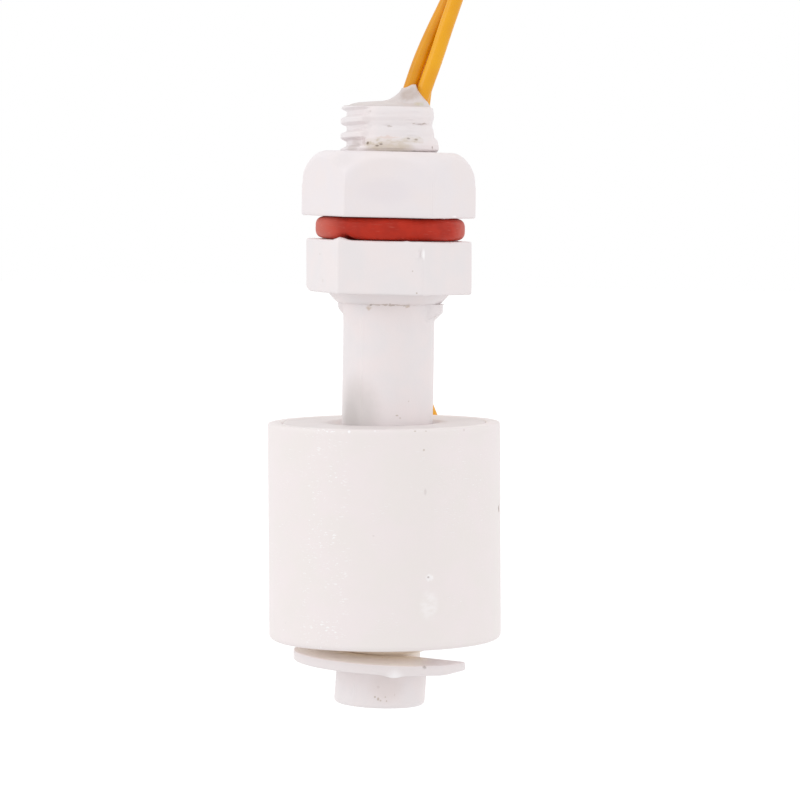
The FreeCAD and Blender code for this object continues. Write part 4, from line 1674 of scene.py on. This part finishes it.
@dataclass
class PanelNut:
    """The hexagon nut: a domed top, soft edges and a flash along its lower edge. Millimetres.

    Attributes:
        face_r: The radius of its flat top.
        dome: The height of its dome.
        flatness: The power of the dome's curve, where 2 is an ellipse.
    """

    across_flats: float = 15.1
    low: float = 2.3
    height: float = 6.5
    corner: float = 0.2
    face_r: float = 6.2
    dome: float = 3.2
    bore_r: float = 5.03
    bore_cut: float = 0.3
    edge: float = 0.2
    flatness: float = 1.7
    own_slant: float = 0.08

    def dome_r(self, height: float) -> float:
        """Works out the dome.

        Args:
            height: A height above the nut's lower face.

        Returns:
            The radius.
        """
        rise = max(0.0, height - (self.height - self.dome)) / self.dome
        side = self.across_flats / math.sqrt(3) - self.face_r
        return self.face_r + side * math.sqrt(max(0.0, 1 - rise ** self.flatness))

    def build(self) -> None:
        """Makes the nut and dresses it."""
        lathe = Lathe(with_corners(0.0))
        azimuths = lathe.signed()
        side = hexagon(azimuths, self.across_flats, self.corner, 0.0)
        low, top = self.low, self.low + self.height
        lathe.row(self.bore_r + self.bore_cut, low)
        lathe.row(side - 0.9, low)
        flash = 0.12 * hump(47.0, 3.0, azimuths) + 0.10 * hump(53.5, 2.4, azimuths)
        lathe.row(side - self.edge, low - 0.3 * flash)
        lathe.row(side - 0.06, low + 0.06 - 0.4 * flash)
        lathe.row(side, low + self.edge)
        for height in np.arange(0.6, self.height - self.dome, 0.4):
            lathe.row(side, low + height)
        for share in np.linspace(0.0, 1.0, 34):
            height = self.height - self.dome + self.dome * math.sin(share * math.pi / 2)
            lathe.row(soft_least(side, 0 * side + self.dome_r(height), 0.28), low + height)
        lathe.row(self.face_r - 0.5, top)
        lathe.row(self.bore_r + self.bore_cut + 0.05, top)
        lathe.row(self.bore_r + self.bore_cut, top - 0.03)
        lathe.row(self.bore_r, top - self.bore_cut)
        for height in np.arange(top - self.bore_cut - 0.5, low + self.bore_cut, -0.8):
            lathe.row(self.bore_r, height)
        lathe.row(self.bore_r, low + self.bore_cut)
        skin = slanted(lathe.build("hex_nut", loop=True, sharp=50.0), SLANT + self.own_slant)
        marks = (
            Mark(-12.0, 2.6, 7.6, 0.1, SOIL, 0.3),
            # Painted shade on the dome's top left.
            Mark(-36.0, 7.9, 7.6, 1.9, tint(226, 219, 219), 0.35, 0.6),
            Mark(-2.0, 4.9, 7.6, 3.6, tint(231, 223, 227), 0.4, 0.5),
            Mark(60.0, 2.45, 7.6, 0.5, FLASH_AND_HIGHLIGHT, 0.9, 0.4),
        )
        finish = Moulded("white_polypropylene_nut", WHITE, tint(238, 231, 233), roughness=0.4, grain=0.004,
                         grain_size=0.4, scuffs=0.15, marks=marks)
        finish_piece(skin, "nut", "white_polypropylene", finish.material(), "panel_nut")


@dataclass
class SealRing:
    """The squeezed O-ring, nicked where the flange's burr bites into it. Millimetres.

    Attributes:
        aside: How far it sits to the right.
        flat: The power that flattens its section's top and foot.
        plump: The power that flattens its sides.
    """

    low: float = 0.02
    high: float = 2.28
    inner: float = 5.15
    outer: float = 7.47
    aside: float = 0.19
    nick_azimuth: float = -37.5
    rows: int = 40
    flat: float = 0.62
    plump: float = 0.9

    def build(self) -> None:
        """Makes the ring and dresses it."""
        lathe = Lathe(even(256))
        azimuths = lathe.signed()
        middle = (self.low + self.high) / 2
        half_h = (self.high - self.low) / 2
        half_w = (self.outer - self.inner) / 2
        centre = (self.outer + self.inner) / 2
        nick = 0.5 * hump(self.nick_azimuth, 15.0, azimuths) + 0.5 * hump(self.nick_azimuth, 6.5, azimuths)
        for step in range(self.rows):
            angle = 2 * math.pi * step / self.rows
            across, up = math.cos(angle), math.sin(angle)
            squeezed = math.copysign(abs(up) ** self.flat, up)
            bulged = math.copysign(abs(across) ** self.plump, across)
            lift = 0.40 * nick * max(0.0, -up) * (across > -0.2)
            dent = 0.08 * nick * max(0.0, across) * (up < 0.3)
            lathe.row(centre + half_w * bulged - dent, middle + half_h * squeezed + lift)
        ring = slanted(lathe.build("seal_ring", loop=True, sharp=80.0), SLANT)
        ring.data.transform(Matrix.Translation(Vector((self.aside * MM, 0.0, 0.0))))
        finish_piece(ring, "seal", "red_silicone", Rubber().material(), "o_ring")


@dataclass
class Float:
    """The float: a cup with its sleeve, and a lid welded into its top. Millimetres.

    Attributes:
        mouth: The width of the chamfer at each end of its bore.
        sleeve: The sleeve's wall.
        lid: The lid's thickness.
        spigot: The radius and the depth of the step under the lid.
        hang: How far its skin leans back from the stem to hang upright, in degrees.
    """

    radius: float = 11.65
    top: float = -18.26
    height: float = 21.74
    wall: float = 1.45
    floor: float = 1.5
    edge: float = 0.5
    rim_edge: float = 0.2
    bore_r: float = 5.0
    mouth: float = 0.75
    sleeve: float = 0.9
    lid: float = 1.14
    lid_gap: float = 0.03
    spigot: tuple[float, float] = (6.9, 0.8)
    pip_azimuth: float = 22.7
    pip_height: float = -32.7
    hang: float = 1.05

    def side_flaws(self, azimuths: np.ndarray, height: float) -> np.ndarray:
        """Works out what the pip, its dent, the nick and the faint waves add to the side's radius.

        Args:
            azimuths: The azimuths at which it is wanted.
            height: The height at which it is wanted.

        Returns:
            The change of radius at each azimuth.
        """
        flaws = (
            Flaw(self.pip_azimuth, 1.7, self.pip_height, 0.3, 0.14),
            Flaw(self.pip_azimuth - 1.6, 1.5, self.pip_height + 0.1, 0.35, -0.05),
            Flaw(79.0, 1.6, -26.6, 0.6, -0.12),
        )
        return flawed(flaws, azimuths, height) + 0.035 * ripple(azimuths, 1.6, height * 0.18)

    def add_cup(self) -> bpy.types.Object:
        """Makes the cup.

        Returns:
            The cup.
        """
        lathe = Lathe(even(300))
        azimuths = lathe.signed()
        low = self.top - self.height
        inner = self.radius - self.wall
        sleeve_r = self.bore_r + self.sleeve
        lathe.row(self.bore_r + self.mouth, low)
        for radius in (7.0, 9.0, 10.6):
            lathe.row(radius, low)
        lathe.bend(self.edge, (self.radius - self.edge, low + self.edge), -90, 0, 6)
        fine = np.arange(self.pip_height - 0.5, self.pip_height + 0.5, 0.08)
        coarse = np.arange(low + self.edge + 0.3, self.top - self.rim_edge - 0.1, 0.3)
        heights = np.unique(np.round(np.concatenate([fine, coarse]), 3))
        for height in heights:
            clear = eased(low + self.edge, low + 1.5, height)
            clear = clear * (1 - eased(self.top - 1.2, self.top - 0.3, height))
            lathe.row(self.radius + self.side_flaws(azimuths, height) * clear, height)
        burr = 0.05 * np.maximum(ripple(azimuths, 30.0, 4.0), 0.0)
        lathe.row(self.radius - 0.01, self.top - self.rim_edge)
        lathe.row(self.radius - 0.06, self.top - 0.06 + burr)
        lathe.row(self.radius - self.rim_edge, self.top + burr)
        lathe.row(inner + 0.14, self.top)
        lathe.row(inner + 0.02, self.top - 0.12)
        lathe.row(inner, self.top - 0.3)
        lathe.row(inner, self.top - self.lid + 0.35)
        lathe.row(inner, self.top - self.lid)
        lathe.row(inner, low + self.floor + 0.6)
        lathe.row(inner - 0.6, low + self.floor)
        lathe.row(sleeve_r + 0.4, low + self.floor)
        lathe.row(sleeve_r, low + self.floor + 0.4)
        lathe.row(sleeve_r, self.top - self.lid)
        lathe.row(self.bore_r, self.top - self.lid)
        for height in np.linspace(self.top - self.lid - 1.0, low + self.mouth + 0.2, 8):
            lathe.row(self.bore_r, height)
        lathe.row(self.bore_r, low + self.mouth)
        return lathe.build("float_cup", loop=True, sharp=50.0)

    def add_lid(self) -> bpy.types.Object:
        """Makes the lid.

        Returns:
            The lid.
        """
        lathe = Lathe(even(240))
        outer = self.radius - self.wall - self.lid_gap
        ledge = self.top - self.lid
        spigot_r, spigot_h = self.spigot
        inside = self.bore_r + self.sleeve + self.lid_gap
        mouth_r = self.bore_r + self.mouth
        lathe.row(mouth_r, self.top)
        for share in (0.2, 0.4, 0.6, 0.8):
            lathe.row(mouth_r + (outer - mouth_r) * share, self.top - 0.015)
        lathe.row(outer - 0.3, self.top)
        lathe.row(outer - 0.12, self.top)
        lathe.row(outer - 0.02, self.top - 0.1)
        lathe.row(outer, self.top - 0.25)
        lathe.row(outer, ledge + 0.35)
        lathe.row(outer, ledge)
        lathe.row(spigot_r, ledge)
        lathe.row(spigot_r, ledge - spigot_h)
        lathe.row(inside, ledge - spigot_h)
        lathe.row(inside, ledge)
        lathe.row(self.bore_r, ledge)
        lathe.row(self.bore_r, self.top - self.mouth)
        return lathe.build("float_lid", loop=True, sharp=50.0)

    def marks(self) -> tuple[Mark, ...]:
        """Lists the specks and rubs on the cup, and the painted highlight and painted shade on its pip.

        Returns:
            The marks.
        """
        side = self.radius
        return (
            Mark(79.0, -26.6, side, 0.34, tint(176, 160, 150), 0.85, 1.7),
            # Painted highlight on the pip, and painted shade on its left.
            Mark(self.pip_azimuth, self.pip_height, side, 0.5, FLASH_AND_HIGHLIGHT, 0.8),
            Mark(self.pip_azimuth - 0.8, self.pip_height + 0.05, side + 0.1, 0.17, tint(190, 180, 178), 0.9),
            Mark(self.pip_azimuth, -35.4, side, 1.2, FLASH_AND_HIGHLIGHT, 0.4, 1.7, 0.8),
            *specks(side, SOIL, (19.0, -20.2, 0.16, 0.5), (14.5, -18.35, 0.2, 0.55, 0.5),
                    (20.0, -18.35, 0.18, 0.55, 0.5)),
            Mark(42.0, -18.35, side, 0.24, tint(208, 190, 186), 0.7),
            Mark(-17.5, -18.5, side, 0.2, FLASH_AND_HIGHLIGHT, 0.95),
            Mark(-5.0, -18.3, side, 0.16, FLASH_AND_HIGHLIGHT, 0.8),
            Mark(-5.0, -28.6, side, 0.16, tint(216, 206, 204), 0.6, 0.5),
            Mark(20.0, -24.3, side, 0.2, tint(214, 204, 202), 0.5, 2.2),
            Mark(-57.0, -37.9, side, 0.2, tint(206, 198, 200), 0.6),
        )

    def upright(self, piece: bpy.types.Object) -> bpy.types.Object:
        """Lets the piece hang upright within its play on the leaning stem.

        Its skin turns, and the room for the magnet stays as it is.

        Args:
            piece: The cup or the lid.

        Returns:
            The piece.
        """
        flat = np.empty(len(piece.data.vertices) * 3)
        piece.data.vertices.foreach_get("co", flat)
        points = flat.reshape(-1, 3) / MM
        low, ledge = self.top - self.height, self.top - self.lid
        middle = self.top - self.height / 2
        across, rise = points[:, 0].copy(), points[:, 2] - middle
        inside = np.hypot(points[:, 0], points[:, 1]) < self.radius - self.wall + 0.1
        held = inside * eased(low + 0.4, low + self.floor - 0.2, points[:, 2])
        held = held * (1 - eased(ledge, ledge + 0.7, points[:, 2]))
        turn = math.radians(-self.hang) * (1 - held)
        points[:, 0] = across * np.cos(turn) + rise * np.sin(turn)
        points[:, 2] = middle + rise * np.cos(turn) - across * np.sin(turn)
        piece.data.vertices.foreach_set("co", (points * MM).ravel())
        piece.data.update()
        return piece

    def build(self) -> None:
        """Makes cup and lid and dresses them."""
        # The cup's painted glints sit in a band on its left front, facing the key lamp.
        skin = Moulded("float_polypropylene_cup", tint(242, 233, 233), tint(240, 233, 231), roughness=0.46,
                       grain=0.006, grain_size=0.28, scuffs=0.9, marks=self.marks(),
                       glints=PaintedGlintBand(-30.5, 17.0, 0.75))
        cup = self.upright(self.add_cup())
        finish_piece(cup, "float", "float_polypropylene", skin.material(), "float_shell")
        # The lid is the float's top face: the cup's colour with painted shade, as less light falls on the
        # top.
        shaded_cover = Moulded("float_polypropylene_lid_painted_shade", tint(231, 223, 222), tint(227, 219, 218), roughness=0.5,
                        grain=0.008, grain_size=0.3, scuffs=0.3)
        lid = self.upright(self.add_lid())
        finish_piece(lid, "float", "float_polypropylene", shaded_cover.material(), "float_cap")


@dataclass
class Resin:
    """The potting: it fills the neck and is drawn up round the leads. Millimetres.

    Attributes:
        dome: How high it stands in the middle, away from the leads.
        plug_r: The radius of the plug in the bore.
        rim_r: How far out it reaches over the neck's rim, at most.
        around: The number of points in each ring.
        steps: The number of rings on its top.
        peak: Where it is drawn up highest, across and deep.
        crest: Places across the neck, from left to right, each with how high the resin stands there.
    """

    top: float = 13.3
    dome: float = 0.52
    plug_r: float = 3.55
    plug_floor: float = -1.0
    peak: tuple[float, float] = (2.3, -0.55)
    rim_r: float = 4.62
    around: int = 180
    steps: int = 56
    crest: tuple[tuple[float, float], ...] = (
        (-4.7, 13.1), (-3.9, 13.47), (-3.1, 13.67), (-1.8, 13.77), (-0.8, 13.84), (-0.1, 14.0),
        (0.5, 14.35), (0.95, 14.78), (1.15, 15.15), (1.6, 15.22), (2.2, 15.5), (2.55, 15.48),
        (2.75, 14.98), (3.2, 14.4), (3.55, 13.98), (3.9, 13.58), (4.4, 13.2),
    )

    def height(self, x: float, y: float) -> float:
        """Works out how high the resin stands above a point.

        Args:
            x: How far the point is to the right.
            y: How far back it is.

        Returns:
            The height.
        """
        away = math.hypot(x, y)
        dome = self.top + self.dome * (1 - min(1.0, away / 4.75) ** 2.6) - 0.1
        crest = float(np.interp(x, *zip(*self.crest)))
        ridge = -0.15 - 0.7 * float(eased(1.2, 2.6, x))
        spread = 1.25 + 1.2 * float(1 - eased(-1.5, 0.8, x))
        share = math.exp(-abs((y - ridge) / spread) ** 3)
        wave = 0.05 * noise.noise(Vector((x * 0.9, y * 0.9, 3.1)))
        return dome + wave + (crest - dome) * share

    def build(self, body: Moulding) -> None:
        """Makes the resin, out to the rim of the body's neck, and dresses it.

        Args:
            body: The moulding that it fills.
        """
        count, steps = self.around, self.steps
        azimuths = even(count)
        rim = np.minimum(self.rim_r, body.neck(azimuths, self.top) - 0.14)
        turns = np.radians(azimuths)
        ends = np.stack([rim * np.sin(turns), -rim * np.cos(turns)], axis=1)
        centre = np.array(self.peak)
        points = [(*self.peak, self.height(*self.peak))]
        for step in range(1, steps + 1):
            share = (step / steps) ** 1.25
            fade = float(eased(0.9, 1.0, share))
            for x, y in centre + (ends - centre) * share:
                points.append((x, y, self.height(x, y) * (1 - fade) + (self.top + 0.02) * fade))
        edge = np.array(points[-count:])
        for scale, drop in ((1.004, -0.12), (0.985, -0.2)):
            points += [(x * scale, y * scale, z + drop) for x, y, z in edge]
        for level in (self.top - 0.4, self.plug_floor):
            points += [(self.plug_r * math.sin(turn), -self.plug_r * math.cos(turn), level) for turn in turns]
        points.append((0.0, 0.0, self.plug_floor))
        rings = steps + 4
        faces = fan(0, 1, count, turned=True)
        for ring in range(rings - 1):
            faces += strip(1 + ring * count, 1 + (ring + 1) * count, count)
        faces += fan(len(points) - 1, 1 + (rings - 1) * count, count, turned=False)
        made = outward(add_mesh("resin_fill", np.array(points), faces, sharp=70.0))
        marks = (
            # Painted shade on the flank of the drawn-up mound.
            Mark(50.8, 14.5, 2.45, 1.35, tint(198, 183, 176), 1.0, 0.8, 0.2),
            Mark(48.0, 13.55, 4.1, 0.9, tint(208, 200, 178), 0.8, 0.3, 0.3),
            Mark(25.0, 13.4, 4.4, 0.3, SOIL, 0.6, 0.3),
            Mark(30.0, 13.36, 4.45, 0.24, DARK_SOIL, 0.6, 0.4),
            Mark(60.0, 13.3, 4.5, 0.25, SOIL, 0.7, 0.5),
        )
        finish = Moulded("white_resin", tint(223, 214, 213), tint(212, 203, 201), roughness=0.4, grain=0.01,
                         grain_size=0.5, scuffs=0.2, marks=marks)
        finish_piece(made, "stem_unit", "white_resin", finish.material(), "potting")


@dataclass
class Clip:
    """The retaining clip: an open ring, dished, tilted in its groove, with painted warm bounce light on top.
    Millimetres.

    Attributes:
        inner: The azimuths between which its bore runs, from the front of its mouth round the back.
        rim: The azimuths between which its rim runs.
        dish: How much lower its rim is than its bore's edge.
        tilt: How far its right side hangs down, in degrees.
        aside: How far it sits to the right.
    """

    inner_r: float = 3.95
    rim_r: float = 8.9
    inner: tuple[float, float] = (40.0, -178.0)
    rim: tuple[float, float] = (69.5, -203.0)
    top: float = -41.32
    low: float = -42.62
    dish: float = 0.28
    tilt: float = 2.5
    steps: int = 150
    aside: float = -0.1
    marks: tuple[Mark, ...] = (
        Mark(0.0, -41.3, 4.9, 0.16, DARK_SOIL, 0.7),
        Mark(28.0, -41.95, 8.8, 0.3, DARK_SOIL, 0.5),
        # Painted highlight on the lip under the rim.
        Mark(8.0, -42.95, 8.9, 1.2, FLASH_AND_HIGHLIGHT, 0.9),
    )

    # Painted warm bounce light in cream, and the painted glow that brightens the shaded top face.
    BOUNCE_LIGHT_CREAM = tint(255, 250, 243)
    DEEP_BOUNCE_LIGHT_CREAM = tint(255, 242, 224)
    PAINTED_GLOW = tint(88, 79, 71)
    PAINTED_GLOW_PLAIN = tint(70, 66, 66)
    NO_GLOW = tint(0, 0, 0)

    def section(self) -> list[tuple[float, float]]:
        """Works out the outline of the section.

        Returns:
            Its points, each a share of the way from bore to rim and a height.
        """
        rim_top = self.top - self.dish
        top = [(share, self.top - self.dish * share) for share in (0.03, 0.2, 0.4, 0.6, 0.8, 0.95)]
        return [(0.0, self.top - 0.12), (0.006, self.top - 0.05), *top, (0.98, rim_top - 0.02),
                (0.994, rim_top - 0.07), (1.0, rim_top - 0.16), (1.0, self.low + 0.5), (1.0, self.low + 0.14),
                (0.992, self.low + 0.05), (0.975, self.low), (0.5, self.low), (0.03, self.low),
                (0.0, self.low + 0.12)]

    def build(self) -> None:
        """Makes the clip and dresses it."""
        section = self.section()
        count = len(section)
        points = []
        for step in range(self.steps + 1):
            share = step / self.steps
            ends = []
            for radius, (first, last) in ((self.inner_r, self.inner), (self.rim_r, self.rim)):
                turn = math.radians(first + (last - first) * share)
                ends.append((radius * math.sin(turn), -radius * math.cos(turn)))
            azimuth = self.rim[0] + (self.rim[1] - self.rim[0]) * share
            burr = 0.24 * float(hump(8.0, 10.0, azimuth)) + 0.05 * float(hump(45.0, 12.0, azimuth))
            burr -= 0.16 * float(eased(35.0, 69.0, azimuth))
            for across, height in section:
                x, y = (a + (b - a) * across for a, b in zip(*ends))
                drop = burr * (across > 0.9) * (height < self.low + 0.3)
                lean = x * math.sin(math.radians(self.tilt))
                points.append((x + self.aside, y, height - drop - lean))
        faces = []
        for step in range(self.steps):
            faces += strip(step * count, (step + 1) * count, count)
        faces.append(tuple(range(count)))
        faces.append(tuple(range(self.steps * count, (self.steps + 1) * count)[::-1]))
        made = outward(add_mesh("snap_clip", np.array(points), faces, sharp=35.0))
        finish_piece(made, "stem_unit", "white_polypropylene", self.material(), "retaining_clip")

    def material(self) -> bpy.types.Material:
        """Builds white plastic with painted warm bounce light, cream, where its top faces the float and some
        light shines through, and a painted glow on that top face.

        Returns:
            The material.
        """
        material, shader = new_shader("white_polypropylene_clip")
        place = shader.place()
        across, deep, height = place.axes()
        level = height + across * math.sin(math.radians(self.tilt))
        away = (across * across + deep * deep) ** 0.5
        fall = self.dish / (self.rim_r - self.inner_r)
        upper = (level + (away - self.inner_r) * fall).eased(self.top - 0.16, self.top - 0.04)
        # Painted warm bounce light: cream on the top face under the float, deepest towards the bore.
        overlay = upper * across.eased(5.6, 3.2) * away.eased(9.1, 8.2) * (shader.cloud(place, 1.4) * 0.5 + 0.6)
        colour = shader.mixed(WHITE, WHITE_COOL, shader.cloud(place, 2.0))
        colour = colour.towards(self.BOUNCE_LIGHT_CREAM, overlay.least(1.0))
        inmost_bounce = upper * away.eased(6.6, 4.6) * across.eased(5.0, 3.6) * 0.8
        colour = colour.towards(self.DEEP_BOUNCE_LIGHT_CREAM, inmost_bounce)
        uneven = shader.drift(place, 0.5, 0.4)
        for mark in self.marks:
            near = (uneven - mark.centre()).length().eased(mark.size, 0.05)
            colour = colour.towards(mark.colour, near * mark.strength)
        fine = shader.bump(shader.cloud(place, 0.3, 3.0), 0.006)
        # Painted glow: the top face gives out light of its own.
        glow = shader.mixed(self.PAINTED_GLOW_PLAIN, self.PAINTED_GLOW, across.eased(5.0, 2.5))
        glow = glow.towards(self.NO_GLOW, 1 - upper)
        shader.surface({"Base Color": colour, "Roughness": shader.cloud(place, 0.8) * 0.2 + 0.34,
                        "Normal": fine, "IOR": 1.49, "Emission Color": glow, "Emission Strength": 1.0})
        return material


@dataclass(frozen=True)
class Insides:
    """The pieces that the body and the float hold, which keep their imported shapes."""

    alloy: Metal = Metal("reed_alloy", tint(196, 194, 188), tint(168, 166, 160), 0.28, (1.0, 1.0, 0.1))
    copper: Metal = Metal("tinned_copper", tint(206, 200, 190), tint(196, 160, 128), 0.34, (1.0, 1.0, 0.2))
    solder: Metal = Metal("solder", tint(190, 192, 194), tint(150, 152, 156), 0.36)
    ferrite: Moulded = Moulded("ferrite", tint(58, 57, 58), tint(40, 40, 42), roughness=0.62,
                               grain=0.02, grain_size=0.12, scuffs=0.2)
    sleeve: Moulded = Moulded("shrink_sleeve", tint(34, 34, 36), tint(46, 45, 46), roughness=0.5,
                              grain=0.006, grain_size=0.2)
    skin: Insulation = Insulation("yellow_pvc_inner", tint(232, 160, 40), tint(226, 150, 36))
    glass: Glass = Glass()

    def build(self, nodes: dict[str, bpy.types.Object]) -> None:
        """Dresses each piece.

        Args:
            nodes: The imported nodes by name.
        """
        for finish, names in (
            (self.alloy, ("reed_blade_upper", "reed_blade_lower")),
            (self.copper, ("wire_core_a", "wire_core_b")),
            (self.solder, ("solder_joint_a", "solder_joint_b")),
            (self.ferrite, ("ring_magnet",)),
            (self.sleeve, ("joint_shrink_tube",)),
            (self.skin, ("inner_wire_a", "inner_wire_b")),
            (self.glass, ("reed_glass",)),
        ):
            material = finish.material()
            for name in names:
                dress(nodes[name], material)


def main() -> None:
    """Builds the scene."""
    logging.basicConfig(level=logging.INFO, format="%(name)s: %(message)s")
    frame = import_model()
    packed_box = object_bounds()
    nodes = frame["nodes"]
    middle = (packed_box[0] + packed_box[1]) / 2
    Studio().build(Vector((0.0, 0.0, middle.z)))
    Leads().build(nodes)
    body = Moulding()
    body.build()
    PanelNut().build()
    SealRing().build()
    Float().build()
    Resin().build(body)
    Clip().build()
    Insides().build(nodes)


if __name__ == "__main__":
    main()
